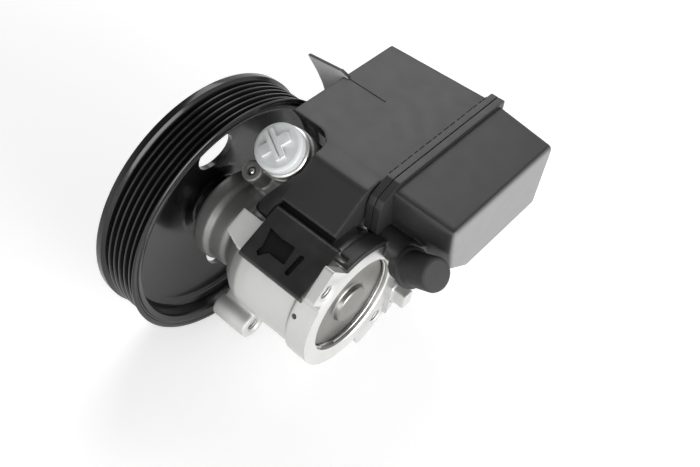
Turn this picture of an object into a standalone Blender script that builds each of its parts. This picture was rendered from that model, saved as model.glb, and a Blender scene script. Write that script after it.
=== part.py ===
"""A vane-type power steering pump with a ribbed belt pulley and a two-part fluid reservoir.

Units are metres. X runs along the drive shaft from the pulley towards the end cover, Y points to the
reservoir's filler end and Z up from the reservoir's large flat face. The origin is the centre of the
shaft's front end face.
"""

import math

import bmesh
import bpy
from mathutils import Matrix, Vector

# Clearances
GAP = 0.0003
SLIDE_GAP = 0.0004

# Pulley
PULLEY_RADIUS = 0.069
PULLEY_WIDTH = 0.0271
RIB_PITCH = 0.00356
RIB_DEPTH = 0.0029
RIB_COUNT = 6
FIRST_GROOVE_X = 0.0065
FLANGE_HEIGHT = 0.0014
RIM_WALL = 0.0026
WEB_WALL = 0.0028
WEB_DISC_X = 0.0054
WEB_DISC_RADIUS = 0.0204
WEB_RIM_X = 0.0122
HUB_RADIUS = 0.014
HUB_LENGTH = 0.0161
PULLER_GROOVE_DEPTH = 0.0014
WEB_HOLE_RADIUS = 0.0109
WEB_HOLE_CIRCLE = 0.0368
WEB_HOLE_ANGLE = math.radians(92)
WEB_HOLE_COUNT = 2

# Shaft, bushing and seal
SHAFT_RADIUS = 0.0085
SPIGOT_RADIUS = 0.0075
SHAFT_LENGTH = 0.0816
BUSHING_WALL = 0.0021
BUSHING_LENGTH = 0.0252
SEAL_WALL = 0.0049
SEAL_LENGTH = 0.0062

# Pump housing
NOSE_X = 0.0172
NOSE_RADIUS = 0.0252
NOSE_NECK_RADIUS = 0.0232
NOSE_STEP_X = 0.0266
SHOULDER_X = 0.0406
BODY_RADIUS = 0.0331
REAR_RING_X = 0.0914
REAR_RING_STEP = 0.0018
REAR_FACE_X = 0.1048
CAVITY_RADIUS = 0.0265
CAVITY_FLOOR_X = 0.058
LUG_HOLE_REACH = 0.0042
LUG_HOLE_RADIUS = 0.0034
UPPER_LUG_ANGLE = math.radians(125.6)
LOWER_LUG_ANGLE = math.radians(-54.3)
FRONT_LUG_ANGLE = math.radians(-135)
FRONT_LUG_RADIUS = 0.008
FRONT_LUG_X = 0.044
FRONT_LUG_LENGTH = 0.022
LOCATING_HOLE_RADIUS = 0.0013
LOCATING_HOLE_ANGLE = math.radians(-36.8)
PUNCH_HOLE_RADIUS = 0.0014
PUNCH_HOLE_X = 0.0948
PUNCH_HOLE_ANGLE = math.radians(157)
STUB_X = 0.097
STUB_LENGTH = 0.0183
STUB_INNER = 0.0052
STUB_OUTER = 0.0019
STUB_LOW_Z = -0.022
STUB_HIGH_Z = -0.0125

# Pumping group
THRUST_PLATE_WALL = 0.0047
RING_WIDTH = 0.016
CAM_WALL = 0.0062
CAM_LIFT = 0.002
ROTOR_CLEARANCE = 0.0007
VANE_COUNT = 10
VANE_WALL = 0.0014
SLOT_FLOOR_RADIUS = 0.0099
VANE_ROOM = 0.0026
PRESSURE_PLATE_WALL = 0.0064
PORT_INNER = 0.0135
PORT_OUTER = 0.0175
DOWEL_RADIUS = 0.0016
DOWEL_INSET = 0.0031
PLATE_SPRING_RADIUS = 0.013
PLATE_SPRING_WIRE = 0.0011

# End cover and its ring
COVER_BOSS_RADIUS = 0.0106
COVER_BOSS_HEIGHT = 0.0032
COVER_WALL = 0.0041
COVER_REAR_X = 0.1007
COVER_RING_WIRE = 0.00075
COVER_RING_GAP = math.radians(26)
COVER_RING_GAP_ANGLE = math.radians(-122)

# Outlet boss, union, plug and flow-control valve
VALVE_X = 0.0436
VALVE_TILT = math.atan2(0.6, 0.8)
VALVE_REACH = 0.0073
BOSS_RADIUS = 0.0138
BOSS_TOP = 0.030
BOSS_BOTTOM = -0.034
VALVE_BORE_RADIUS = 0.0083
VALVE_BORE_BOTTOM = -0.030
UNION_THREAD_RADIUS = 0.009
UNION_THREAD_LENGTH = 0.014
UNION_FLANGE_RADIUS = 0.013
UNION_FLANGE_HEIGHT = 0.005
UNION_BORE_RADIUS = 0.0045
UNION_SOCKET_RADIUS = 0.0062
UNION_SOCKET_DEPTH = 0.0092
PLUG_HEAD_RADIUS = 0.0121
PLUG_HEAD_HEIGHT = 0.0062
PLUG_CROSS_HEIGHT = 0.0011
PLUG_SHANK_LENGTH = 0.0085
SPOOL_LENGTH = 0.028
SPOOL_WAIST_RADIUS = 0.0055
SPOOL_SPRING_WIRE = 0.0008
SPOOL_SPRING_TURNS = 5
SMALL_LUG_RADIUS = 0.0054
SMALL_LUG_TOP = 0.0318
SMALL_LUG_SIDE = -0.0162
SMALL_LUG_X = 0.0343
BALL_RADIUS = 0.0019

# Clips and the rails they hold together
CLIP_X = 0.0765
CLIP_TILT = math.radians(27)
CLIP_LENGTH = 0.0378
CLIP_WALL = 0.0012
CLIP_RISE = 0.0027
CLIP_HIGH_EDGE = 0.0126
CLIP_LOW_EDGE = -0.0162
CLIP_LONG_LEG = 0.0051
CLIP_SHORT_LEG = 0.0025
TONGUE_WALL = 0.0012
RAIL_HIGH_EDGE = 0.007

# Reservoir
RESERVOIR_FRONT_X = 0.0303
SEAM_X = 0.0951
RESERVOIR_REAR_X = 0.133
RESERVOIR_WALL = 0.003
RESERVOIR_TOP_Z = 0.057
RESERVOIR_BOTTOM_Z = 0.012
RESERVOIR_FAR_Y = 0.1148
RESERVOIR_SETBACK = 0.0086
SEAM_FLANGE_WIDTH = 0.0038
SEAM_FLANGE_HEIGHT = 0.0022
SEAM_RIM_CLEARANCE = 0.0029
SKIRT_CLEARANCE = 0.0006
SKIRT_WALL = 0.0021
SKIRT_X = 0.0958
SKIRT_END_X = 0.1044
FIN_Y = 0.070
FIN_WALL = 0.0022
FILLER_X = 0.062
FILLER_Z = 0.0255
NECK_RADIUS = 0.0108
NECK_BORE_RADIUS = 0.0086
NECK_LENGTH = 0.004
CAP_RADIUS = 0.013
CAP_SKIRT = 0.0034
CAP_TOP_WALL = 0.0038
GASKET_WALL = 0.0007
INLET_RADIUS = 0.0083
INLET_BOSS_RADIUS = 0.0115
INLET_REACH = 0.0059
SEAL_SECTION = 0.0011

# Return nipple and its dust cap
HOOD_X = 0.1132
HOOD_SETBACK = 0.0006
HOOD_Z = 0.0261
HOOD_RADIUS = 0.0075
NIPPLE_X = 0.1195
NIPPLE_SETBACK = 0.0055
NIPPLE_Z = 0.0263
NIPPLE_DIRECTION = Vector((0.79, -0.18, 0.59)).normalized()
NIPPLE_RADIUS = 0.0069
NIPPLE_BORE_RADIUS = 0.0044
NIPPLE_LENGTH = 0.0155
DUST_CAP_RADIUS = 0.0083
DUST_CAP_FLANGE_RADIUS = 0.0101
DUST_CAP_LENGTH = 0.0198
DUST_CAP_END_WALL = 0.0022

# Sizes that follow the housing's body and its cavity
REAR_RING_RADIUS = BODY_RADIUS + REAR_RING_STEP
LUG_HOLE_CIRCLE = REAR_RING_RADIUS + LUG_HOLE_REACH
VALVE_OFFSET = BODY_RADIUS + VALVE_REACH
CLIP_HEIGHT = BODY_RADIUS + CLIP_RISE
INLET_FACE = BODY_RADIUS + INLET_REACH
RESERVOIR_NEAR_Y = BODY_RADIUS - RESERVOIR_SETBACK
NIPPLE_POINT = Vector((NIPPLE_X, RESERVOIR_NEAR_Y - NIPPLE_SETBACK, NIPPLE_Z))
RING_RADIUS = CAVITY_RADIUS - GAP
CAM_MINOR_RADIUS = RING_RADIUS - CAM_WALL
ROTOR_RADIUS = CAM_MINOR_RADIUS - ROTOR_CLEARANCE
DOWEL_CIRCLE = RING_RADIUS - DOWEL_INSET

# Frames. An axial frame draws in the (Y, Z) plane and rises along X.
AXIAL = Matrix(((0, 0, 1, 0), (1, 0, 0, 0), (0, 1, 0, 0), (0, 0, 0, 1)))
VALVE = Matrix.Rotation(VALVE_TILT, 4, "X") @ Matrix.Translation((VALVE_X, VALVE_OFFSET, 0))
UPPER_CLIP = Matrix.Translation((CLIP_X, 0, 0)) @ Matrix.Rotation(CLIP_TILT, 4, "X")
HALF_TURN = (
    Matrix.Translation((CLIP_X, 0, 0))
    @ Matrix.Rotation(math.pi, 4, Vector((0, 1, 1)))
    @ Matrix.Translation((-CLIP_X, 0, 0))
)
LOWER_CLIP = HALF_TURN @ UPPER_CLIP
INLET = Matrix.Translation((CLIP_X, 0, 0)) @ Matrix.Rotation(-math.pi / 4, 4, "X")
FILLER = Matrix.Translation((FILLER_X, 0, FILLER_Z)) @ Matrix.Rotation(-math.pi / 2, 4, "X")
NIPPLE = Matrix.Translation(NIPPLE_POINT) @ NIPPLE_DIRECTION.to_track_quat("Z", "Y").to_matrix().to_4x4()

# Stations along the shaft that several pieces share
THRUST_X = CAVITY_FLOOR_X + GAP
RING_X = THRUST_X + THRUST_PLATE_WALL + GAP
PLATE_X = RING_X + RING_WIDTH + GAP
PLATE_REAR_X = PLATE_X + PRESSURE_PLATE_WALL
COVER_FRONT_X = COVER_REAR_X - COVER_WALL
SNAP_X = RING_X + RING_WIDTH - GAP
SEAL_BORE_RADIUS = SHAFT_RADIUS + GAP + SEAL_WALL + GAP
BUSHING_BORE_RADIUS = SHAFT_RADIUS + GAP + BUSHING_WALL + GAP
SEAL_FLOOR_X = NOSE_X + SEAL_LENGTH + 0.0008
BUSHING_FLOOR_X = SEAL_FLOOR_X + BUSHING_LENGTH + 0.0008
COVER_RING_X = COVER_REAR_X + COVER_RING_WIRE + GAP
RIB_TIP_RADIUS = PULLEY_RADIUS - FLANGE_HEIGHT
RIM_INNER_RADIUS = RIB_TIP_RADIUS - RIB_DEPTH - RIM_WALL
UNION_BOTTOM = BOSS_TOP + GAP - UNION_THREAD_LENGTH
UNION_TOP = BOSS_TOP + GAP + UNION_FLANGE_HEIGHT
RAIL_HEIGHT = CLIP_HEIGHT - GAP - TONGUE_WALL - GAP
TONGUE_HEIGHT = CLIP_HEIGHT - GAP
NECK_Y = RESERVOIR_FAR_Y + NECK_LENGTH


def clear_scene():
    for obj in list(bpy.data.objects):
        bpy.data.objects.remove(obj, do_unlink=True)


def new_collection(name):
    collection = bpy.data.collections.new(name)
    bpy.context.scene.collection.children.link(collection)
    return collection


def add_object(name, data, matrix=None, cutter=False):
    """Links a mesh or curve as an object. Cutters go in their own collection and aren't rendered."""
    obj = bpy.data.objects.new(name, data)
    obj.matrix_world = matrix or Matrix.Identity(4)
    (CUTTERS if cutter else PARTS).objects.link(obj)
    if cutter:
        obj.hide_render = True
        obj.display_type = "WIRE"
    return obj


def finish(obj, color, roughness, metallic=0.0):
    """Gives an object its own Principled material."""
    material = bpy.data.materials.new(obj.name)
    material.use_nodes = True
    shader = material.node_tree.nodes["Principled BSDF"]
    shader.inputs["Base Color"].default_value = (*color, 1.0)
    shader.inputs["Roughness"].default_value = roughness
    shader.inputs["Metallic"].default_value = metallic
    obj.data.materials.clear()
    obj.data.materials.append(material)
    return obj


def turned(name, profile, steps, matrix=AXIAL, cutter=False):
    """Turns a (radius, height) profile about local Z. An open profile starts and ends on the axis."""
    area = sum(
        a[0] * b[1] - b[0] * a[1] for a, b in zip(profile, profile[1:] + profile[:1])
    )
    points = list(reversed(profile)) if area > 0 else list(profile)
    open_ended = points[0][0] == 0 and points[-1][0] == 0
    mesh = bpy.data.meshes.new(name)
    count = len(points)
    edges = [(i, (i + 1) % count) for i in range(count - 1 if open_ended else count)]
    mesh.from_pydata([(r, 0, h) for r, h in points], edges, [])
    obj = add_object(name, mesh, matrix, cutter)
    screw = obj.modifiers.new("Turn", "SCREW")
    screw.axis = "Z"
    screw.steps = steps
    screw.render_steps = steps
    screw.use_merge_vertices = True
    screw.merge_threshold = 0.00001
    screw.use_smooth_shade = True
    return obj


def prism(name, outlines, low, high, matrix=AXIAL, cutter=False):
    """Extrudes flat outlines, given as lists of local (x, y) points, from local z = low to high."""
    curve = bpy.data.curves.new(name, "CURVE")
    curve.dimensions = "2D"
    curve.fill_mode = "BOTH"
    curve.extrude = (high - low) / 2
    for outline in outlines:
        spline = curve.splines.new("POLY")
        spline.points.add(len(outline) - 1)
        for point, (x, y) in zip(spline.points, outline):
            point.co = (x, y, 0, 1)
        spline.use_cyclic_u = True
    shape = bpy.data.objects.new(name + "_outline", curve)
    bpy.context.scene.collection.objects.link(shape)
    shape.matrix_world = matrix @ Matrix.Translation((0, 0, (low + high) / 2))
    bpy.context.view_layer.update()
    mesh = as_mesh(shape, name)
    return add_object(name, mesh, matrix @ Matrix.Translation((0, 0, (low + high) / 2)), cutter)


def as_mesh(shape, name):
    """Makes a curve object a closed mesh, and removes the curve."""
    depsgraph = bpy.context.evaluated_depsgraph_get()
    mesh = bpy.data.meshes.new_from_object(shape.evaluated_get(depsgraph))
    mesh.name = name
    edit = bmesh.new()
    edit.from_mesh(mesh)
    bmesh.ops.remove_doubles(edit, verts=edit.verts, dist=0.000001)
    bmesh.ops.recalc_face_normals(edit, faces=edit.faces)
    edit.to_mesh(mesh)
    edit.free()
    bpy.data.objects.remove(shape, do_unlink=True)
    mesh.shade_smooth()
    mesh.set_sharp_from_angle(angle=math.radians(32))
    return mesh


def wire(name, points, radius, sides_level=1, matrix=None):
    """A round wire through the points, with closed ends."""
    curve = bpy.data.curves.new(name, "CURVE")
    curve.dimensions = "3D"
    curve.bevel_depth = radius
    curve.bevel_resolution = sides_level
    curve.use_fill_caps = True
    spline = curve.splines.new("POLY")
    spline.points.add(len(points) - 1)
    for point, place in zip(spline.points, points):
        point.co = (*place, 1)
    return add_object(name, curve, matrix)


def solid_cylinder(name, radius, low, high, matrix, segments=32, cutter=True):
    mesh = bpy.data.meshes.new(name)
    edit = bmesh.new()
    bmesh.ops.create_cone(
        edit, cap_ends=True, segments=segments, radius1=radius, radius2=radius, depth=high - low
    )
    edit.to_mesh(mesh)
    edit.free()
    mesh.shade_smooth()
    mesh.set_sharp_from_angle(angle=math.radians(32))
    return add_object(name, mesh, matrix @ Matrix.Translation((0, 0, (low + high) / 2)), cutter)


def ball(name, radius, matrix, segments, cutter=False):
    mesh = bpy.data.meshes.new(name)
    edit = bmesh.new()
    bmesh.ops.create_uvsphere(edit, u_segments=segments, v_segments=segments * 2 // 3, radius=radius)
    edit.to_mesh(mesh)
    edit.free()
    mesh.shade_smooth()
    return add_object(name, mesh, matrix, cutter)


def solid_box(name, low, high, matrix, bevel=0.0, cutter=True):
    """A box between two local corners, with its edges rounded by bevel."""
    low = Vector(low)
    high = Vector(high)
    mesh = bpy.data.meshes.new(name)
    edit = bmesh.new()
    bmesh.ops.create_cube(edit, size=1.0)
    bmesh.ops.scale(edit, vec=high - low, verts=edit.verts)
    edit.to_mesh(mesh)
    edit.free()
    obj = add_object(name, mesh, matrix @ Matrix.Translation((low + high) / 2), cutter)
    if bevel:
        round_edges(obj, bevel)
    return obj


def round_edges(obj, width, segments=2, angle=math.radians(40)):
    bevel = obj.modifiers.new("Round", "BEVEL")
    bevel.width = width
    bevel.segments = segments
    bevel.limit_method = "ANGLE"
    bevel.angle_limit = angle


def boolean(target, tool, operation):
    modifier = target.modifiers.new(tool.name, "BOOLEAN")
    modifier.operation = operation
    modifier.object = tool
    modifier.solver = "EXACT"


def join(target, *tools):
    for tool in tools:
        boolean(target, tool, "UNION")


def cut(target, *tools):
    for tool in tools:
        boolean(target, tool, "DIFFERENCE")


def polar(radius, angle):
    return (radius * math.cos(angle), radius * math.sin(angle))


def circle(radius, count, center=(0, 0)):
    turn = 2 * math.pi / count
    return [(center[0] + radius * math.cos(i * turn), center[1] + radius * math.sin(i * turn)) for i in range(count)]


def arc(radius, start, end, count, center=(0, 0)):
    step = (end - start) / (count - 1)
    points = [polar(radius, start + i * step) for i in range(count)]
    return [(center[0] + x, center[1] + y) for x, y in points]


def rounded(points, radii, count=4):
    """Replaces each corner of a closed outline with an arc of its radius."""
    if not isinstance(radii, (list, tuple)):
        radii = [radii] * len(points)
    result = []
    total = len(points)
    for i, radius in enumerate(radii):
        here = Vector(points[i])
        before = (Vector(points[i - 1]) - here).normalized()
        after = (Vector(points[(i + 1) % total]) - here).normalized()
        if radius == 0:
            result.append(tuple(here))
            continue
        half = before.angle(after) / 2
        reach = radius / math.tan(half)
        center = here + (before + after).normalized() * (radius / math.sin(half))
        start = here + before * reach - center
        end = here + after * reach - center
        sweep = start.angle_signed(end)
        for k in range(count):
            turn = Matrix.Rotation(-sweep * k / (count - 1), 2)
            result.append(tuple(center + turn @ start))
    return result


def inset(points, distance):
    """Moves each side of a closed counter-clockwise outline inwards; a negative distance moves it out."""
    result = []
    total = len(points)
    for i in range(total):
        here = Vector(points[i])
        before = (here - Vector(points[i - 1])).normalized()
        after = (Vector(points[(i + 1) % total]) - here).normalized()
        normal_a = Vector((-before.y, before.x))
        normal_b = Vector((-after.y, after.x))
        push = (normal_a + normal_b) / (1 + normal_a.dot(normal_b))
        result.append(tuple(here + push * distance))
    return result


def taper(obj, at_high_end, center, scale):
    """Narrows one end of a prism about a local centre, as mould draft does."""
    for vertex in obj.data.vertices:
        if (vertex.co.z > 0) == at_high_end:
            vertex.co.x = center[0] + (vertex.co.x - center[0]) * scale
            vertex.co.y = center[1] + (vertex.co.y - center[1]) * scale


def shaft_frame(x, angle, radius=0.0):
    """An axial frame whose origin lies at a polar place around the shaft."""
    y, z = polar(radius, angle)
    return Matrix.Translation((x, y, z)) @ AXIAL


# Pulley and shaft


def pulley_profile():
    """The rim, the dished web and the pressed hub as one turned section."""
    tip = RIB_TIP_RADIUS
    root = tip - RIB_DEPTH
    half_root = 0.0004
    half_top = RIB_PITCH / 2 - half_root + 0.0001
    outer = PULLEY_RADIUS
    first = FIRST_GROOVE_X
    last = first + RIB_PITCH * (RIB_COUNT - 1)
    points = [(outer - 0.0012, 0), (outer, 0.0008), (outer, first - half_top - 0.0006)]
    for i in range(RIB_COUNT):
        middle = first + i * RIB_PITCH
        points += [(tip, middle - half_top), (root, middle - half_root)]
        points += [(root, middle + half_root), (tip, middle + half_top)]
    width = PULLEY_WIDTH
    points += [(outer, last + half_top + 0.0003), (outer, width - 0.0004), (outer - 0.0006, width)]
    points += [(outer - 0.0019, width), (outer - 0.0026, width - 0.0009), (outer - 0.0034, width - 0.0009)]
    inner = RIM_INNER_RADIUS
    points += [(outer - 0.0038, width - 0.0002), (inner + 0.0006, width - 0.0012), (inner, width - 0.0027)]
    web_front = WEB_RIM_X
    disc_front = WEB_DISC_X
    disc_rear = disc_front + WEB_WALL
    points += [(inner, web_front + WEB_WALL + 0.0032), (inner - 0.0012, web_front + WEB_WALL + 0.001)]
    points += [(inner - 0.004, web_front + WEB_WALL), (WEB_DISC_RADIUS + 0.002, disc_rear + 0.0006)]
    points += [(WEB_DISC_RADIUS, disc_rear), (HUB_RADIUS + 0.0012, disc_rear), (HUB_RADIUS, disc_rear + 0.0012)]
    points += [(HUB_RADIUS, HUB_LENGTH - 0.0008), (HUB_RADIUS - 0.0008, HUB_LENGTH)]
    bore = SHAFT_RADIUS + GAP
    points += [(bore, HUB_LENGTH), (bore, 0), (HUB_RADIUS - 0.0006, 0), (HUB_RADIUS, 0.0006)]
    groove = HUB_RADIUS - PULLER_GROOVE_DEPTH
    points += [(HUB_RADIUS, 0.002), (groove, 0.002), (groove, disc_front - 0.0009)]
    points += [(HUB_RADIUS, disc_front - 0.0009), (HUB_RADIUS, disc_front), (WEB_DISC_RADIUS, disc_front)]
    points += [(inner - 0.004, web_front), (inner, web_front - 0.003), (inner, 0.001), (inner + 0.001, 0)]
    return points


def build_pulley():
    pulley = turned("pulley", pulley_profile(), 36)
    for i in range(WEB_HOLE_COUNT):
        angle = WEB_HOLE_ANGLE + i * 2 * math.pi / WEB_HOLE_COUNT
        place = shaft_frame(0, angle, WEB_HOLE_CIRCLE)
        hole = solid_cylinder(f"web_hole_{i + 1}", WEB_HOLE_RADIUS, 0.002, WEB_RIM_X + 0.009, place, 24)
        cut(pulley, hole)
    return finish(pulley, (0.012, 0.012, 0.013), 0.25)


def build_shaft():
    groove_low = SNAP_X + GAP / 2
    groove_high = groove_low + 0.0014
    groove = SPIGOT_RADIUS - 0.0008
    profile = [(0, 0), (SHAFT_RADIUS - 0.0006, 0), (SHAFT_RADIUS, 0.0006), (SHAFT_RADIUS, CAVITY_FLOOR_X)]
    profile += [(SPIGOT_RADIUS, CAVITY_FLOOR_X + 0.001), (SPIGOT_RADIUS, groove_low), (groove, groove_low)]
    profile += [(groove, groove_high), (SPIGOT_RADIUS, groove_high), (SPIGOT_RADIUS, SHAFT_LENGTH)]
    profile += [(0, SHAFT_LENGTH)]
    return finish(turned("drive_shaft", profile, 24), (0.5, 0.5, 0.5), 0.3, 1.0)


def build_bushing():
    inner = SHAFT_RADIUS + GAP
    outer = inner + BUSHING_WALL
    low = SEAL_FLOOR_X + 0.0004
    high = low + BUSHING_LENGTH
    profile = [(inner, low), (outer, low), (outer, high), (inner, high)]
    return finish(turned("shaft_bushing", profile, 16), (0.55, 0.42, 0.25), 0.4, 1.0)


def build_seal():
    inner = SHAFT_RADIUS + GAP
    outer = inner + SEAL_WALL
    low = NOSE_X + 0.0004
    high = low + SEAL_LENGTH
    profile = [(inner + 0.0015, low), (outer, low), (outer, high), (inner + 0.0035, high)]
    profile += [(inner + 0.0035, low + 0.0022), (inner + 0.0015, low + 0.0026)]
    profile += [(inner + 0.0012, high - 0.001), (inner, high - 0.0018), (inner, low + 0.0018)]
    return finish(turned("shaft_seal", profile, 16), (0.02, 0.02, 0.02), 0.6)


# Pumping group


def kidney(start, end):
    """A curved port between two angles."""
    return arc(PORT_OUTER, start, end, 7) + arc(PORT_INNER, end, start, 7)


def dowel_centers():
    return [polar(DOWEL_CIRCLE, 0), polar(DOWEL_CIRCLE, math.pi)]


def dowel_holes():
    return [circle(DOWEL_RADIUS + GAP, 10, center) for center in dowel_centers()]


def build_thrust_plate():
    outlines = [circle(RING_RADIUS, 36), circle(SHAFT_RADIUS + GAP, 20)] + dowel_holes()
    outlines += [kidney(math.radians(20), math.radians(70)), kidney(math.radians(200), math.radians(250))]
    plate = prism("thrust_plate", outlines, THRUST_X, THRUST_X + THRUST_PLATE_WALL)
    return finish(plate, (0.42, 0.42, 0.43), 0.4, 1.0)


def cam_outline(count):
    """The oval that pushes each vane in and out twice a turn."""
    points = []
    for i in range(count):
        angle = 2 * math.pi * i / count
        points.append(polar(CAM_MINOR_RADIUS + CAM_LIFT * math.sin(angle) ** 2, angle))
    return points


def build_cam_ring():
    outlines = [circle(RING_RADIUS, 36), cam_outline(36)] + dowel_holes()
    return finish(prism("cam_ring", outlines, RING_X, RING_X + RING_WIDTH), (0.45, 0.45, 0.46), 0.35, 1.0)


def rotor_outline():
    """A disc with one deep parallel slot for each vane."""
    half = VANE_WALL / 2 + GAP
    floor = SLOT_FLOOR_RADIUS
    edge = math.asin(half / ROTOR_RADIUS)
    pitch = 2 * math.pi / VANE_COUNT
    points = []
    for i in range(VANE_COUNT):
        middle = i * pitch + pitch / 2
        turn = Matrix.Rotation(-middle, 2)
        corners = [(floor, -half), (floor, half)]
        mouth = ROTOR_RADIUS * math.cos(edge)
        for x, y in [(mouth, -half)] + corners + [(mouth, half)]:
            points.append((x * math.cos(middle) - y * math.sin(middle), x * math.sin(middle) + y * math.cos(middle)))
        points += arc(ROTOR_RADIUS, middle + edge, middle + pitch - edge, 5)[1:-1]
    return points


def build_rotor():
    outlines = [rotor_outline(), circle(SPIGOT_RADIUS + GAP, 20)]
    rotor = prism("rotor", outlines, RING_X + GAP, RING_X + RING_WIDTH - GAP)
    return finish(rotor, (0.4, 0.4, 0.41), 0.35, 1.0)


def build_vanes():
    """Thin blades at rest just inside the cam's smallest radius, each with its origin in its own slot."""
    tip = CAM_MINOR_RADIUS - GAP
    half = VANE_WALL / 2
    inner = SLOT_FLOOR_RADIUS + VANE_ROOM
    outline = [(inner, -half), (tip - 0.0004, -half), (tip, -half / 2), (tip, half / 2)]
    outline += [(tip - 0.0004, half), (inner, half)]
    pitch = 2 * math.pi / VANE_COUNT
    for i in range(VANE_COUNT):
        place = Matrix.Rotation(i * pitch + pitch / 2, 4, "X") @ AXIAL
        vane = prism(f"vane_{i + 1:02d}", [outline], RING_X + 2 * GAP, RING_X + RING_WIDTH - 2 * GAP, place)
        finish(vane, (0.5, 0.5, 0.52), 0.25, 1.0)


def build_rotor_ring():
    """A C-shaped snap ring that keeps the rotor on the shaft."""
    inner = SPIGOT_RADIUS - 0.0005
    outer = SPIGOT_RADIUS + 0.0013
    opening = math.radians(25)
    outline = arc(outer, opening, 2 * math.pi - opening, 16)
    outline += arc(inner, 2 * math.pi - opening, opening, 16)
    low = SNAP_X + GAP
    return finish(prism("rotor_retaining_ring", [outline], low, low + 0.001), (0.2, 0.2, 0.2), 0.4, 1.0)


def build_pressure_plate():
    bore = circle(SPIGOT_RADIUS + 0.0013 + SLIDE_GAP, 20)
    outlines = [circle(RING_RADIUS, 36), bore] + dowel_holes()
    for start in (20, 110, 200, 290):
        outlines.append(kidney(math.radians(start), math.radians(start + 50)))
    plate = prism("pressure_plate", outlines, PLATE_X, PLATE_REAR_X)
    return finish(plate, (0.42, 0.42, 0.43), 0.4, 1.0)


def build_dowels():
    for i, (y, z) in enumerate(dowel_centers()):
        place = Matrix.Translation((0, y, z)) @ AXIAL
        pin = solid_cylinder(
            f"dowel_pin_{i + 1}", DOWEL_RADIUS, THRUST_X + 0.0005, PLATE_REAR_X - 0.0005, place, 10, cutter=False
        )
        finish(pin, (0.45, 0.45, 0.45), 0.3, 1.0)


def seal_ring(name, radius, section, height, matrix, steps=24):
    """A rubber ring of round section."""
    profile = [(radius + x, height + y) for x, y in circle(section, 6)]
    return finish(turned(name, profile, steps, matrix), (0.02, 0.02, 0.02), 0.6)


def coil(radius, low, high, turns, count):
    """Points along a spring's wire, with flat end turns."""
    points = []
    for i in range(count + 1):
        share = i / count
        rise = min(max((share * turns - 0.6) / (turns - 1.2), 0), 1)
        x, y = polar(radius, 2 * math.pi * turns * share)
        points.append((x, y, low + (high - low) * rise))
    return points


def build_plate_spring():
    wire_radius = PLATE_SPRING_WIRE
    low = PLATE_REAR_X + wire_radius + GAP
    high = COVER_FRONT_X - wire_radius - GAP
    points = coil(PLATE_SPRING_RADIUS, low, high, 2.6, 31)
    return finish(wire("pressure_plate_spring", points, wire_radius, matrix=AXIAL), (0.3, 0.3, 0.32), 0.35, 1.0)


# Rear end


def build_end_cover():
    outer = CAVITY_RADIUS - GAP
    rear = COVER_REAR_X
    front = COVER_FRONT_X
    boss = COVER_BOSS_RADIUS
    top = rear + COVER_BOSS_HEIGHT
    floor = outer - 0.0019
    profile = [(0, top), (boss - 0.0014, top), (boss - 0.0006, top - 0.0006), (boss, rear + 0.0006)]
    profile += [(boss + 0.0008, rear), (outer - 0.001, rear), (outer, rear - 0.0008)]
    profile += [(outer, rear - 0.0009), (floor, rear - 0.0009), (floor, front + 0.001), (outer, front + 0.001)]
    profile += [(outer, front), (0, front)]
    return finish(turned("end_cover", profile, 32), (0.42, 0.41, 0.39), 0.35, 1.0)


def build_end_cover_seal():
    middle = (COVER_REAR_X - 0.0009 + COVER_FRONT_X + 0.001) / 2
    return seal_ring("end_cover_o_ring", CAVITY_RADIUS - 0.0011, 0.0008, middle, AXIAL, 24)


def build_cover_ring():
    """A round-wire ring, open at one place, sprung into the housing's groove."""
    start = COVER_RING_GAP_ANGLE + COVER_RING_GAP / 2
    end = COVER_RING_GAP_ANGLE - COVER_RING_GAP / 2 + 2 * math.pi
    points = [(x, y, COVER_RING_X) for x, y in arc(CAVITY_RADIUS - 0.0001, start, end, 34)]
    ring = wire("end_cover_retaining_ring", points, COVER_RING_WIRE, matrix=AXIAL)
    return finish(ring, (0.6, 0.6, 0.6), 0.25, 1.0)


# Housing


def housing_profile():
    """The stepped nose, the rounded shoulder, the body and the larger rear ring."""
    nose = NOSE_RADIUS
    neck = NOSE_NECK_RADIUS
    body = BODY_RADIUS
    ring = REAR_RING_RADIUS
    step = NOSE_STEP_X
    shoulder = SHOULDER_X
    beyond = REAR_FACE_X + 0.002
    profile = [(0, NOSE_X), (nose - 0.0062, NOSE_X), (nose - 0.0024, NOSE_X + 0.0006)]
    profile += [(nose - 0.0004, NOSE_X + 0.0021), (nose, NOSE_X + 0.0034), (nose, step), (neck, step + 0.0024)]
    profile += [(neck, shoulder - 0.004), (neck - 0.0008, shoulder - 0.0014), (neck - 0.0008, shoulder)]
    reach = body - neck
    for share, rise in ((0.16, 0.0026), (0.5, 0.0062), (0.82, 0.0108), (0.97, 0.0162)):
        profile.append((neck + reach * share, shoulder + rise))
    profile += [(body, shoulder + 0.0225), (body, REAR_RING_X), (ring, REAR_RING_X + 0.001), (ring, beyond)]
    profile += [(0, beyond)]
    return profile


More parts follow.
